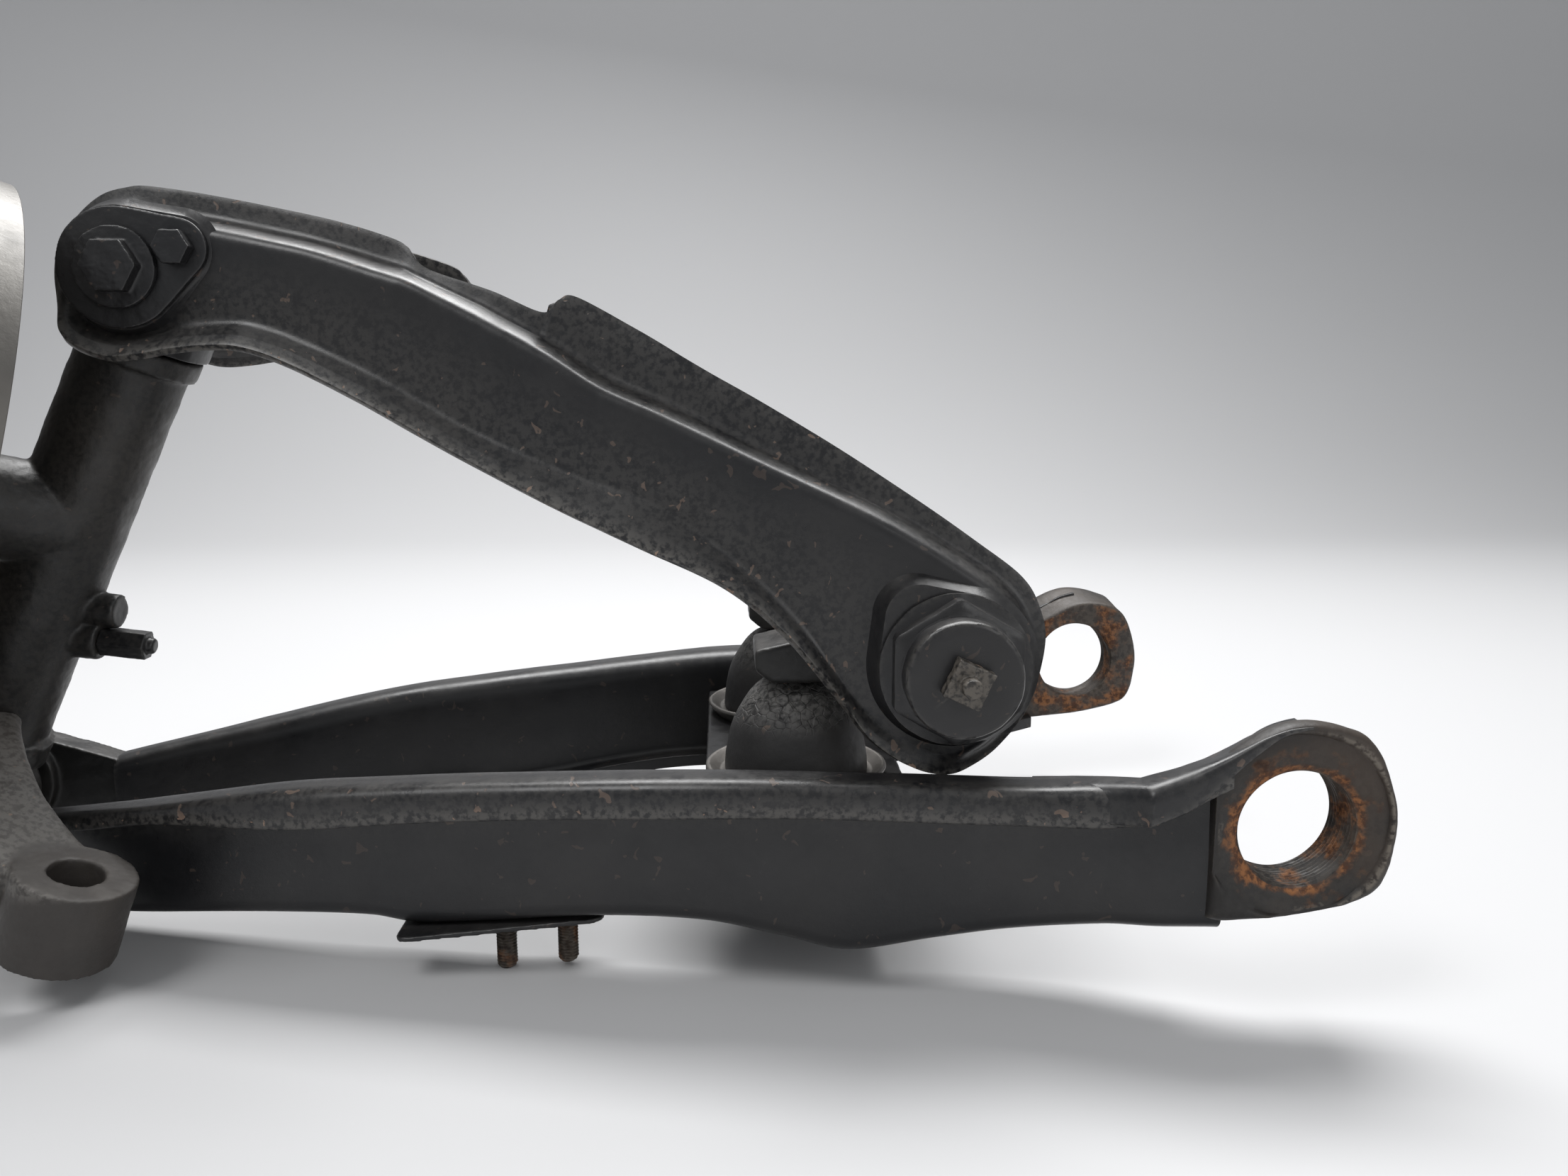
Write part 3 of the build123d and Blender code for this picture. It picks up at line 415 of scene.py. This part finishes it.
FINISH = {
    "black_paint": finish_of(
        "black_paint", (0.0075, 0.0077, 0.009), (0.014, 0.0135, 0.014), chips=0.35,
        dust_and_highlight=(0.115, 0.108, 0.098), gloss=(0.27, 0.46), dust_and_top_highlight=0.12, edges=0.22, waves=0.16, pits=0.22),
    "rusty_forging": finish_of(
        "rusty_forging", (0.010, 0.0085, 0.0075), (0.030, 0.019, 0.012), rusty=0.34, dust_and_top_highlight=0.03,
        edges=0.25, dust_and_highlight=(0.19, 0.165, 0.135), gloss=(0.45, 0.7), pits=0.7, waves=0.5,
        rust=((0.075, 0.032, 0.016), (0.27, 0.115, 0.045))),
    "bare_forging": finish_of(
        "bare_forging", (0.034, 0.030, 0.027), (0.055, 0.047, 0.041), rusty=0.15, gloss=(0.5, 0.72),
        dust_and_top_highlight=0.15, pits=0.6),
    "worn_forging": finish_of(
        "worn_forging", (0.009, 0.009, 0.009), (0.019, 0.017, 0.015), rusty=0.1, dust_and_top_highlight=0.12,
        dust_and_highlight=(0.12, 0.105, 0.088), edges=0.25, gloss=(0.36, 0.6), pits=0.4),
    "rubber": finish_of(
        "rubber", (0.014, 0.0135, 0.0135), (0.024, 0.022, 0.021), gloss=(0.5, 0.75), dust_and_top_highlight=0.2,
        dust_and_highlight=(0.13, 0.125, 0.118), edges=0.1, rusty=-0.6, cracks=1.5),
    "disc_iron": finish_of(
        "disc_iron", (0.085, 0.08, 0.073), (0.13, 0.122, 0.11), metal=0.35, gloss=(0.34, 0.5),
        dust_and_top_highlight=0.0, edges=0.0, rusty=0.15),
    "hub_iron": finish_of("hub_iron", (0.09, 0.078, 0.068), (0.14, 0.12, 0.105), metal=0.4, rusty=0.3),
    "plain_steel": finish_of(
        "plain_steel", (0.16, 0.15, 0.14), (0.25, 0.235, 0.22), metal=0.7, gloss=(0.32, 0.55),
        dust_and_top_highlight=0.1, rusty=0.2),
    "bronze": finish_of("bronze", (0.30, 0.18, 0.07), (0.36, 0.23, 0.1), metal=0.8, rusty=-0.3),
}


# ---------------------------------------------------------------- lower arm: pressed legs
def leg_section(x):
    """Closed section of a leg at x: (distance from the middle, height)."""
    c, top, lip, low, proud = (at(x, t) for t in (LEG_Y, LEG_TOP, LEG_LIP, LEG_LOW, LEG_PROUD))
    web, inside = c + 4, c - 12
    return rounded([(inside - 10, low + 0.2, 0.6), (web, low + 0.2, 7), (web, lip, 1.5),
                    (web + proud, lip, 1.4), (web + proud, top, 11), (inside, top, 11),
                    (inside, low + 6, 4), (inside - 10, low + 6, 0.8)])


def make_leg():
    """Pressed leg from the outer eye to the inner one, with its rolled bead."""
    rows, wear_and_highlight, rust = [], [], []
    count, outer_end, inner_end = 190, -479.5, -25.0
    for i in range(count):
        x = outer_end + (inner_end - outer_end) * i / (count - 1)
        c, top, lip, low = (at(x, t) for t in (LEG_Y, LEG_TOP, LEG_LIP, LEG_LOW))
        row = []
        inset = 3.5 * smooth(-70, -50, x)                    # stays just inside the shoulder that covers it
        for out, up in leg_section(x):
            dent = rough((x, out, up), 38, 0.5) + rough((x, out, up), 11, 0.12)
            keep = smooth(c + 2, c + 6, out) * smooth(low + 20, lip, up)
            row.append((x, -min(out + dent * 0.8 - inset * keep, OUTER),
                        up + dent * 0.5 - inset * 0.5 * smooth(lip, top, up)))
            # painted highlight along the bead's lower edge, and a painted sheen over the whole bead that is
            # stronger towards the inner eye; both go into the wear values
            near_lip = smooth(5.5, 0, abs(up - lip - 1.5)) * smooth(c + 2, c + 6, out)
            bead = smooth(lip - 1, lip + 3, up) * smooth(c + 2, c + 6, out)
            end = smooth(-95, -35, x)
            wear_and_highlight.append(0.42 * near_lip + 0.14 * bead + 0.12 * end * bead)
            inner = smooth(c - 8, c - 12, out) * smooth(-130, -70, x) * smooth(top - 6, low, up)
            rust.append(0.10 * near_lip + 0.30 * inner + 0.05 * end)
        rows.append(row)
    verts, faces = strips(rows, closed_columns=True)
    n = len(rows[0])
    faces.append(tuple(range(n)))
    faces.append(tuple((count - 1) * n + k for k in reversed(range(n))))
    obj = piece("front_leg", verts, faces, "lower_arm", "black_paint",
                ["front_leg_cap", "front_leg_web"], wear_and_highlight, rust)
    outward(obj)
    return obj


front_leg = make_leg()
rear_of(front_leg, "rear_leg", ["rear_leg_cap", "rear_leg_web"])


# ---------------------------------------------------------------- lower arm: forged inner eyes
def polar(outline, centre, count):
    """Distance from a centre to a closed outline, by angle."""
    out = []
    for k in range(count):
        a = 2 * pi * k / count
        d, best = (cos(a), sin(a)), 0.0
        for i in range(len(outline)):
            (x0, z0), (x1, z1) = outline[i - 1], outline[i]
            x0, z0, x1, z1 = x0 - centre[0], z0 - centre[1], x1 - centre[0], z1 - centre[1]
            den = d[0] * (z1 - z0) - d[1] * (x1 - x0)
            if abs(den) > 1e-9:
                t = (x0 * (z1 - z0) - z0 * (x1 - x0)) / den
                s = (x0 * d[1] - z0 * d[0]) / den
                if t > 0 and -1e-6 <= s <= 1 + 1e-6:
                    best = max(best, t)
        out.append(best)
    return out


def closed_spline(points, per=8):
    """Smooth outline through the points; its first and last points are joined by a straight line."""
    points = points[:1] + points + points[-1:]         # a doubled point stops the curve from swinging out
    n = len(points)
    return [spline(points[i - 1], points[i], points[(i + 1) % n], points[(i + 2) % n], k / per)
            for i in range(n) for k in range(per)]


def make_eye():
    """Forged eye: each row goes once round the bore and says which part of the eye it is."""
    count = 288
    front, rear = (polar(closed_spline(o), (0, 0), count) for o in (EYE_FRONT, EYE_REAR))
    recess = polar([(RECESS_X + RECESS_R * cos(radians(a)), RECESS_Z + RECESS_R * sin(radians(a)))
                    for a in range(0, 360, 2)], (0, 0), count)
    rows = [[("bore", EYE_BORE_R + THREAD_DEPTH * abs(((y / THREAD_PITCH + k / count) % 1) * 2 - 1), y)
             for k in range(count)] for y in [119 + 18.4 * i / 60 for i in range(61)]]
    for r, y in ((21.6, 137.8), (22.6, 138.6), (23.6, 139.2), (24.4, 139.5), (25.6, 139.55), (26.6, 139.7),
                 (27.4, 140), (28.4, EYE_FACE), (29.4, EYE_FACE)):
        rows.append([("face", r, y)] * count)
    for share, y in ((0.0, EYE_FACE), (0.1, 140.7), (0.22, 141.3), (0.36, 141.6), (0.52, 141.5), (0.68, 141.2),
                     (0.82, 140.5), (0.93, 139.3), (0.985, 137.8), (1.0, 136)):
        rows.append([("rim", share, y)] * count)
    for y in (133, 130, 127, 124, 121, 119.2):
        rows.append([("wall", 0.0, y)] * count)
    for r in (1.2, 4, 8):
        rows.append([("back", r, 118.1)] * count)
    rows.append([("back", 99, 118.4)] * count)
    verts_rows, wear_and_highlight, rust = [], [], []
    for row in rows:
        line = []
        for k, (kind, a, y) in enumerate(row):
            angle = 2 * pi * k / count
            edge = rear[k] + (front[k] - rear[k]) * smooth(116, 138, y)
            step = min(recess[k], front[k] - 1.4)
            ridge = smooth(0.4, 2.6, front[k] - recess[k])   # no raised rim where the pad reaches the edge
            if kind == "bore":
                r = a
            elif kind == "face":
                r = min(a, step - 0.4)
            elif kind == "rim":
                r = step + (front[k] - step) * a
                y = EYE_FACE + (y - EYE_FACE) * (ridge if y > EYE_FACE else 1)
            elif kind == "wall":
                r = edge
            else:
                r = max(edge - a, 21.6)
            x, z = r * cos(angle), r * sin(angle)
            pit = 0.0 if kind == "bore" else rough((x, y, z), 2.6, 0.16) + rough((x, y, z), 9, 0.22)
            if kind in ("wall", "back"):
                x, z, pit = x * (1 + pit / 60), z * (1 + pit / 60), 0
            line.append((x, -min(y + pit, OUTER), z))
            near = smooth(25, 22, r) if kind == "face" else 0
            left = smooth(-0.2, -0.9, cos(angle))
            rust.append({"bore": 0.30, "face": 0.22 + 0.20 * near + 0.14 * left * smooth(29, 25, r),
                         "rim": 0.03, "wall": 0.05, "back": 0.32}[kind])
            # painted highlight on the crest of the raised rim, on its right-hand side only
            crest = smooth(0.05, 0.2, a) * smooth(0.6, 0.35, a) if kind == "rim" else 0
            wear_and_highlight.append({"bore": 0.12, "face": 0.05, "wall": 0.06, "back": 0.15,
                         "rim": 0.62 * crest * ridge * smooth(-0.2, 0.6, cos(angle))}[kind])
        verts_rows.append(line)
    verts, faces = strips(verts_rows, closed_rows=True, closed_columns=True)
    obj = piece("front_inner_eye", verts, faces, "lower_arm", "rusty_forging",
                ["front_pivot_eye"], wear_and_highlight, rust, 50)
    outward(obj)
    return obj


def make_shoulder():
    """End of the leg's bead, which sweeps up and over the eye; its path is x, lower edge and top."""
    path = ((-84, -2.6, 10.4), (-76, -2.2, 11), (-69, -1.5, 12), (-62, 0, 13.4), (-54, 2.2, 15.6),
            (-46.3, 5, 18.4), (-39.5, 8, 21.2), (-35, 11.2, 23.4), (-29.4, 16.1, 26), (-25, 20.3, 28.2),
            (-20.1, 24.9, 30.8), (-15.6, 28.6, 33.2), (-11.2, 32, 35), (-7.3, 34, 36.2), (-2.8, 35.4, 36.9),
            (1.2, 36.2, 37))
    rows, wear_and_highlight = [], []
    for i in range(len(path) - 1):
        for k in range(8):
            x, low, top = spline(path[max(i - 1, 0)], path[i], path[i + 1],
                                 path[min(i + 2, len(path) - 1)], k / 8)
            leg = at(x, LEG_Y) + at(x, LEG_PROUD)
            front = min(leg - 1.2 + 1.6 * smooth(-80, -66, x) + 14 * smooth(-72, -40, x), OUTER)
            back = front - 14
            drop = 3.5 * smooth(-56, -25, x)                 # the top leans down towards the back
            curl = min((top - low) * 0.75, 6)
            out = [(back, low + 0.3, 0.5), (front, low, 1.1), (front, top, curl), (back, top - drop, 1)]
            row = []
            for y, z in rounded(out, 8, 3):
                dent = rough((x, y, z), 9, 0.25)
                row.append((x, -min(y + dent, OUTER + 0.05), z + dent * 0.4))
                # painted highlight along the shoulder's lower edge, as on the leg's bead, and patchy wear with
                # a painted sheen on its front face
                edge = smooth(4, 0, z - low) * smooth(front - 5, front - 1, y)
                flank = smooth(front - 13, front - 3, y)
                wear_and_highlight.append(0.3 * edge + 0.16 * flank * (0.4 + rough((x, y, z), 14, 0.9)))
            rows.append(row)
    verts, faces = strips(rows, closed_columns=True)
    n = len(rows[0])
    faces += [tuple(range(n)), tuple(len(verts) - n + k for k in range(n))]
    obj = piece("front_eye_shoulder", verts, faces, "lower_arm", "black_paint", [],
                wear_and_highlight, [0.02] * len(verts), 45)
    outward(obj)
    return obj


front_shoulder = make_shoulder()
rear_of(front_shoulder, "rear_eye_shoulder", [])
front_eye = make_eye()
rear_of(front_eye, "rear_inner_eye", ["rear_pivot_eye"])


# ---------------------------------------------------------------- upper arm: pressed halves
def web_y(x):
    """Distance of the upper arm's web from the middle, at x."""
    return 40 + 0.16 * (x + 440)


def add_pad(verts, faces, outline, face_y, grow, sides=(0.0, 0.25, 0.7, 1.0)):
    """Raised pad with sloping sides; outline is a list of (x, z, outward x, outward z)."""
    rows = []
    for share in sides:
        rows.append([(x + nx * grow * (1 - share) ** 1.4, -(web_y(x) - 1 + (face_y - web_y(x) + 1) * share),
                      z + nz * grow * (1 - share) ** 1.4) for x, z, nx, nz in outline])
    rows.append([(x - nx * 1.2, -face_y - 0.05, z - nz * 1.2) for x, z, nx, nz in outline])
    v, f = strips(rows, closed_columns=True)
    base, n = len(verts), len(outline)
    verts += v
    faces += [tuple(base + i for i in quad) for quad in f]
    faces.append(tuple(base + len(v) - n + i for i in range(n)))


def teardrop(centre_a, big, centre_b, small, count=96):
    """Hull of two circles, with its outward directions."""
    ax, az = centre_a
    bx, bz = centre_b
    span = hypot(bx - ax, bz - az)
    lean, open_ = atan2(bz - az, bx - ax), pi / 2 - atan2(big - small, sqrt(span ** 2 - (big - small) ** 2))
    out = []
    for k in range(count):
        a = lean + open_ + (2 * pi - 2 * open_) * k / count
        out.append((ax + big * cos(a), az + big * sin(a), cos(a), sin(a)))
    for k in range(count // 3):
        a = lean - open_ + 2 * open_ * k / (count // 3)
        out.append((bx + small * cos(a), bz + small * sin(a), cos(a), sin(a)))
    return out


def make_arm():
    """Pressed half of the upper arm: a flat web and a rim of changing width and lean."""
    n, per = len(RIM), 11
    loop = []
    for i in range(n):
        for k in range(per):
            loop.append(spline(RIM[i - 1], RIM[i], RIM[(i + 1) % n], RIM[(i + 2) % n], k / per))
    rows, wear_and_highlight, rust = [], [], []
    for bx, bz, ex, ez, lean in loop:
        width = max(hypot(ex - bx, ez - bz), 1e-3)
        nx, nz = (ex - bx) / width, (ez - bz) / width
        topside = 1 - smooth(-5, 2, lean)
        first = topside * min(5.0, width * 0.45) + (1 - topside) * width * 0.55
        share = topside * 0.86 + (1 - topside) * 0.62
        profile = rounded([(-7, 0, 0), (0, 0, 5.5), (first, lean * share, 4.5), (width, lean, 0)],
                          6, 2, closed=False)
        row = []
        for u, d in profile:
            x, z = bx + nx * u, bz + nz * u
            dent = rough((x, d, z), 26, 0.45) + rough((x, d, z), 8, 0.12)
            row.append((x, -(web_y(x) + d + dent), z + dent * 0.3))
            # painted highlight over the lower flange, where light from above falls, stronger at its worn outer
            # edge, and painted highlight over the top band
            tip = smooth(0.55, 1.0, u / width)
            low = 1 - topside
            wear_and_highlight.append(low * (0.16 + 0.42 * tip) + topside * (0.16 * smooth(0, 2, u) + 0.1 * tip))
            rust.append(low * (0.05 + 0.17 * tip) + 0.02)
        rows.append(row)
    verts, faces = strips(rows, closed_rows=True)
    m = len(rows[0])
    web = [i * m for i in range(len(rows))]
    faces.append(tuple(web))
    obj = piece("front_upper_arm", verts, faces, "upper_arm", "black_paint",
                ["front_upper_arm_half"], wear_and_highlight, rust, 50)
    bm = bmesh.new()
    bm.from_mesh(obj.data)
    bmesh.ops.triangulate(bm, faces=[f for f in bm.faces if len(f.verts) > 4])
    bmesh.ops.recalc_face_normals(bm, faces=bm.faces)
    lean = sum(f.normal.y * f.calc_area() for f in bm.faces)
    if lean > 0:
        bmesh.ops.reverse_faces(bm, faces=bm.faces)
    bm.to_mesh(obj.data)
    bm.free()
    sheet = obj.modifiers.new("sheet", "SOLIDIFY")
    sheet.thickness, sheet.offset = 3 * MM, -1
    break_edges(obj, 0.5, 2, 50)
    return obj


front_arm = make_arm()
rear_of(front_arm, "rear_upper_arm", ["rear_upper_arm_half"])


def make_pads():
    """Raised seats that the upper arm's outer and inner bushes stand on."""
    verts, faces = [], []
    add_pad(verts, faces, teardrop(PIN_HIGH, 22.5, LOCK_BOLT, 12), 49.3, 3.2)
    add_pad(verts, faces, teardrop(SHAFT, 28, (-124, 66), 13), 97.9, 3.5)
    obj = piece("front_arm_pads", verts, faces, "upper_arm", "black_paint", [],
                [0.04] * len(verts), [0.0] * len(verts), 40)
    outward(obj)
    return obj


front_pads = make_pads()
rear_of(front_pads, "rear_arm_pads", [])


# ---------------------------------------------------------------- lathe-turned and threaded pieces
def turned(name, profile, origin, axis, body, slot, nodes, count=96, shape=None, wear_and_highlight=None, sharp=38,
           lumps=0.0):
    """Solid of revolution from (height, radius) pairs; shape(angle, height, radius) may change a radius."""
    axis = Vector(axis).normalized()
    side = axis.cross(Vector((0, 0, 1)) if abs(axis.z) < 0.9 else Vector((1, 0, 0))).normalized()
    other = axis.cross(side)
    rows = []
    for h, r in profile:
        row = []
        for k in range(count):
            a = 2 * pi * k / count
            rr = shape(a, h, r) if shape else r
            p = Vector(origin) + axis * h + (side * cos(a) + other * sin(a)) * rr
            if lumps and rr > 0.5:
                p += (side * cos(a) + other * sin(a)) * (rough(p, 9, lumps) + rough(p, 2.5, lumps * 0.4))
            row.append(tuple(p))
        rows.append(row)
    verts, faces = strips(rows, closed_columns=True)
    faces.append(tuple(range(count)))
    faces.append(tuple(len(verts) - count + k for k in range(count)))
    wear_and_highlight_amount = [wear_and_highlight(Vector(v)) for v in verts] if wear_and_highlight else None
    obj = piece(name, verts, faces, body, slot, nodes, wear_and_highlight_amount, sharp=sharp)
    outward(obj)
    return obj


def eased_profile(corners, radius=0.8, steps=3):
    """(height, radius) profile with its corners broken."""
    pts = rounded([(h, r, radius) for h, r in corners], steps, 1, closed=False)
    return [(p[0], max(p[1], 0.02)) for p in pts]


# bump stops: rubber domes in steel cups
for side, word in ((-1, "front"), (1, "rear")):
    foot = (-166.0, side * 50.0, -7.0)
    dome = [(2.7, 0.3), (2.7, 28.6), (4, 29)]
    path = [(4, 29), (12, 28.2), (23, 25.6), (32, 20.8), (38.6, 15), (41.6, 8.5), (42.4, 2.5), (42.4, 0.3)]
    for i in range(1, len(path)):
        p = [path[max(i - 2, 0)], path[i - 1], path[i], path[min(i + 1, len(path) - 1)]]
        dome += [spline(*p, k / 8) for k in range(1, 9)]
    turned(word + "_bump_rubber", [(h, max(r, 0.3)) for h, r in dome], foot, (0, 0, 1), "lower_arm", "rubber",
           [word + "_bump_stop"], 128, wear_and_highlight=lambda v: smooth(14, 32, v.z), lumps=0.3, sharp=60)
    cup = eased_profile([(0, 5.4), (0, 33), (5, 37), (6.2, 35.4), (2.6, 31), (2.6, 5.4)], 1.2)
    turned(word + "_bump_cup", cup, foot, (0, 0, 1), "lower_arm", "plain_steel", [word + "_bump_stop_cup"],
           wear_and_highlight=lambda v: 0.3 * smooth(-3, -1, v.z), lumps=0.15)


def stud(name, x, y, low, high, radius, nodes):
    """Threaded stud that points down."""
    pitch, depth, count, rows = 1.25, 0.75, 40, []
    steps = int((high - low) / pitch * 6)
    for i in range(steps + 1):
        z = low + (high - low) * i / steps
        end = smooth(low - 0.2, low + 1.6, z)
        row = []
        for k in range(count):
            a = 2 * pi * k / count
            tooth = abs((((z - low) / pitch + k / count) % 1) * 2 - 1)
            r = (radius - depth * tooth) * (0.72 + 0.28 * end)
            row.append((x + r * cos(a), y + r * sin(a), z))
        rows.append(row)
    verts, faces = strips(rows, closed_columns=True)
    faces += [tuple(range(count)), tuple(len(verts) - count + k for k in range(count))]
    obj = piece(name, verts, faces, "lower_arm", "rusty_forging", nodes,
                [0.25] * len(verts), [0.24] * len(verts), 60)
    outward(obj)


for label, (sx, low, high) in zip("ab", ((-279.5, -72.0, -51.2), (-256.0, -70.0, -49.2))):
    stud("bracket_stud_" + label, sx, -80, low, high, 4.0, ["bracket_studs"])

# ---------------------------------------------------------------- king-pin carrier, knuckle and steering arm
forged("steering_knuckle_casting", ["steering_knuckle"], "knuckle", "worn_forging", 1.0, 10, 0.35, 9,
       wear_and_highlight=lambda v: 0.10 + 0.25 * smooth(-505, -525, v.x))
forged("steering_arm_forging", ["steering_arm"], "knuckle", "bare_forging", 0.8, 9, 0.3, 8,
       rust=lambda v: 0.25 * smooth(14, 9, hypot(v.x + 431, v.y + 92)),
       wear_and_highlight=lambda v: (0.35 * smooth(17, 20.5, hypot(v.x + 431 + 0.3 * (v.z + 25), v.y + 92))
                       * smooth(-30, -25, v.z)))
forged("lower_head_forging", ["carrier_lower_head"], "carrier", "worn_forging", 0.9, 8, 0.3)
forged("upper_head_forging", ["carrier_upper_head"], "carrier", "worn_forging", 0.9, 8, 0.3)
forged("dust_cap_pressing", ["dust_cap"], "carrier", "black_paint", 0.45, 6, 0.12)
forged("pivot_shaft_forging", ["upper_pivot_shaft"], "upper_shaft", "worn_forging", 0.9, 9, 0.35, 8,
       wear_and_highlight=lambda v: 0.5 * smooth(50, 57, v.z))
for word in ("front", "rear"):
    forged(word + "_outer_eye_forging", [word + "_outer_eye"], "lower_arm", "worn_forging", 0.8, 8, 0.35)
    eased(word + "_lower_bush", word + "_lower_outer_bush", "lower_arm", "worn_forging", 0.8)
forged("cross_plate_pressing", ["cross_plate"], "lower_arm", "black_paint", 0.9, 4, 0.2)
forged("stud_plate_pressing", ["stud_plate"], "lower_arm", "black_paint", 0.6, 5, 0.15)

# ---------------------------------------------------------------- bushes, bolts and plugs on the upper arm
HEX_FLAT, HEX_CORNER = 23.5, 26.6
INNER_BUSH = [(-20, 0.3), (-20, 20), (0, 20), (0.2, 27.2), (0.8, 28), (2.2, 28), (2.6, 27),
              (2.7, HEX_CORNER), (4, HEX_CORNER), (6.5, HEX_CORNER), (8.2, 26.4), (8.8, 25.4),
              (9.1, 23.5), (9.3, 21.6), (9.6, 21), (11, 21.1), (14, 21.1), (17, 21.1), (19, 20.9),
              (19.7, 20.3), (19.9, 19.3), (20, 16), (20, 10), (20, 5), (20, 0.3)]


def hex_corner_up(a, h, r):
    """Hexagon at the hexagon's height, with its corners turned off, and round elsewhere."""
    if not 2.6 <= h <= 9.2:
        return r
    turn = (a + pi / 6) % (pi / 3) - pi / 6
    return min(HEX_FLAT / cos(turn), HEX_CORNER) * (r / HEX_CORNER)


for side, word in ((-1, "front"), (1, "rear")):
    forged(word + "_lock_plate_pressing", [word + "_lock_plate"], "upper_arm", "black_paint",
           0.45, 6, 0.15, 4)
    forged(word + "_outer_bush_turning", [word + "_upper_outer_bush"], "upper_arm", "black_paint",
           0.5, 7, 0.3, 5)
    turned(word + "_inner_bush_cap", INNER_BUSH, (-111, side * 98, 48), (0, side, 0), "upper_arm",
           "black_paint", [word + "_upper_inner_bush"], 144, hex_corner_up, lumps=0.28,
           wear_and_highlight=lambda v: 0.25 * smooth(19, 21, hypot(v.x + 111, v.z - 48)) * smooth(112, 117, abs(v.y)))
    forged(word + "_plug_forging", [word + "_grease_plug"], "upper_arm", "worn_forging", 0.35, 6, 0.35, 3,
           wear_and_highlight=lambda v: 0.75, rust=lambda v: 0.12)
forged("lock_bolt_heads", ["lock_bolts"], "upper_arm", "black_paint", 0.4, 6, 0.25, 4)
forged("stop_screw_steel", ["stop_screw"], "knuckle", "black_paint", 0.45, 4, 0.12, 5, wear_and_highlight=lambda v: 0.1)

# ---------------------------------------------------------------- hub, disc and the small pieces
SMALL_PARTS = (          # node, body, finish, width of the broken edges
    ("wheel_hub", "hub", "hub_iron", 1.0),
    ("brake_disc", "hub", "disc_iron", 1.0),
    ("disc_bolts", "hub", "plain_steel", 0.5),
    ("inner_wheel_bearing", "hub", "plain_steel", 0.5),
    ("outer_wheel_bearing", "hub", "plain_steel", 0.5),
    ("grease_cap", "hub", "plain_steel", 0.5),
    ("spindle_nut", "knuckle", "plain_steel", 0.6),
    ("king_pin_bushes", "knuckle", "bronze", 0.3),
    ("king_pin", "carrier", "plain_steel", 0.6),
    ("thrust_washer", "carrier", "plain_steel", 0.3),
    ("lower_outer_pin", "carrier", "plain_steel", 0.6),
    ("upper_outer_pin", "carrier", "plain_steel", 0.6),
    ("lower_grease_nipples", "lower_arm", "plain_steel", 0.3),
    ("lower_outer_seals", "lower_arm", "rubber", 0.4),
    ("bump_stop_bolts", "lower_arm", "plain_steel", 0.5),
    ("upper_outer_seals", "upper_arm", "rubber", 0.4),
    ("upper_inner_seals", "upper_arm", "rubber", 0.6),
)
for node, body, slot, width in SMALL_PARTS:
    eased(node + "_part", node, body, slot, width)


# ---------------------------------------------------------------- floor, light and camera
def stage_material(name, colour, roughness):
    mat = bpy.data.materials.new(name)
    mat.use_nodes = True
    tree = mat.node_tree
    shader = tree.nodes["Principled BSDF"]
    shader.inputs["Roughness"].default_value = roughness
    texture = tree.nodes.new("ShaderNodeTexNoise")
    texture.inputs["Scale"].default_value = 6
    tint = tree.nodes.new("ShaderNodeMix")
    tint.data_type = "RGBA"
    tint.inputs[6].default_value = (*colour, 1)
    tint.inputs[7].default_value = (*[c * 0.94 for c in colour], 1)
    tree.links.new(texture.outputs[0], tint.inputs[0])
    tree.links.new(tint.outputs[2], shader.inputs["Base Color"])
    return mat


LOWEST = CAD_BOX[0].z
sweep = []               # section of the floor: flat, then a quarter turn up into a wall
for i in range(41):
    t = i / 40
    if t < 0.5:
        sweep.append((-4 + t * 2 * 5.2, 0.0))
    else:
        a = (t - 0.5) * pi
        sweep.append((1.2 + 0.9 * sin(a), 0.9 * (1 - cos(a))))
sweep.append((2.1, 4.0))
floor_mesh = bpy.data.meshes.new("floor")
floor_mesh.from_pydata([(x, y, LOWEST + z) for y, z in sweep for x in (-5, 5)], [],
                       [(2 * i, 2 * i + 1, 2 * i + 3, 2 * i + 2) for i in range(len(sweep) - 1)])
floor_mesh.polygons.foreach_set("use_smooth", [True] * len(floor_mesh.polygons))
floor = linked("floor", floor_mesh)
floor_mesh.materials.append(stage_material("pale_floor", (0.56, 0.56, 0.565), 0.55))


def softbox(name, place, target, size, power):
    data = bpy.data.lights.new(name, "AREA")
    data.shape, data.size, data.size_y, data.energy = "RECTANGLE", size[0], size[1], power
    lamp = linked(name, data)
    lamp.location = place
    lamp.rotation_euler = (Vector(target) - Vector(place)).to_track_quat("-Z", "Y").to_euler()


softbox("top_light", (-0.1, 0.7, 1.5), (-0.28, 0.0, 0.05), (1.6, 0.7), 46)
softbox("key_light", (-0.9, -0.7, 1.3), (-0.28, 0.0, 0.05), (0.6, 0.6), 9)
softbox("fill_light", (0.9, -1.3, 0.7), (-0.2, 0.0, 0.05), (1.0, 1.0), 5)

world = bpy.data.worlds.new("studio")
world.use_nodes = True
world.node_tree.nodes["Background"].inputs[0].default_value = (0.95, 0.97, 1.0, 1)
world.node_tree.nodes["Background"].inputs[1].default_value = 0.42
bpy.context.scene.world = world
bpy.context.scene.view_settings.view_transform = "Standard"

CAMERA_PLACE = (-0.194394, -0.508193, 0.146537)
CAMERA_AXES = ((0.99867, -0.05135, 0), (0.00843, 0.16389, 0.98644), (0.05065, 0.98513, -0.16411))
camera_data = bpy.data.cameras.new("camera")
camera_data.sensor_width, camera_data.lens = 36.0, 26.8535
camera = linked("camera", camera_data)
right, up, ahead = (Vector(v).normalized() for v in CAMERA_AXES)
turn = Matrix((right, up, -ahead)).transposed().to_4x4()
camera.matrix_world = Matrix.Translation(CAMERA_PLACE) @ turn
bpy.context.scene.camera = camera
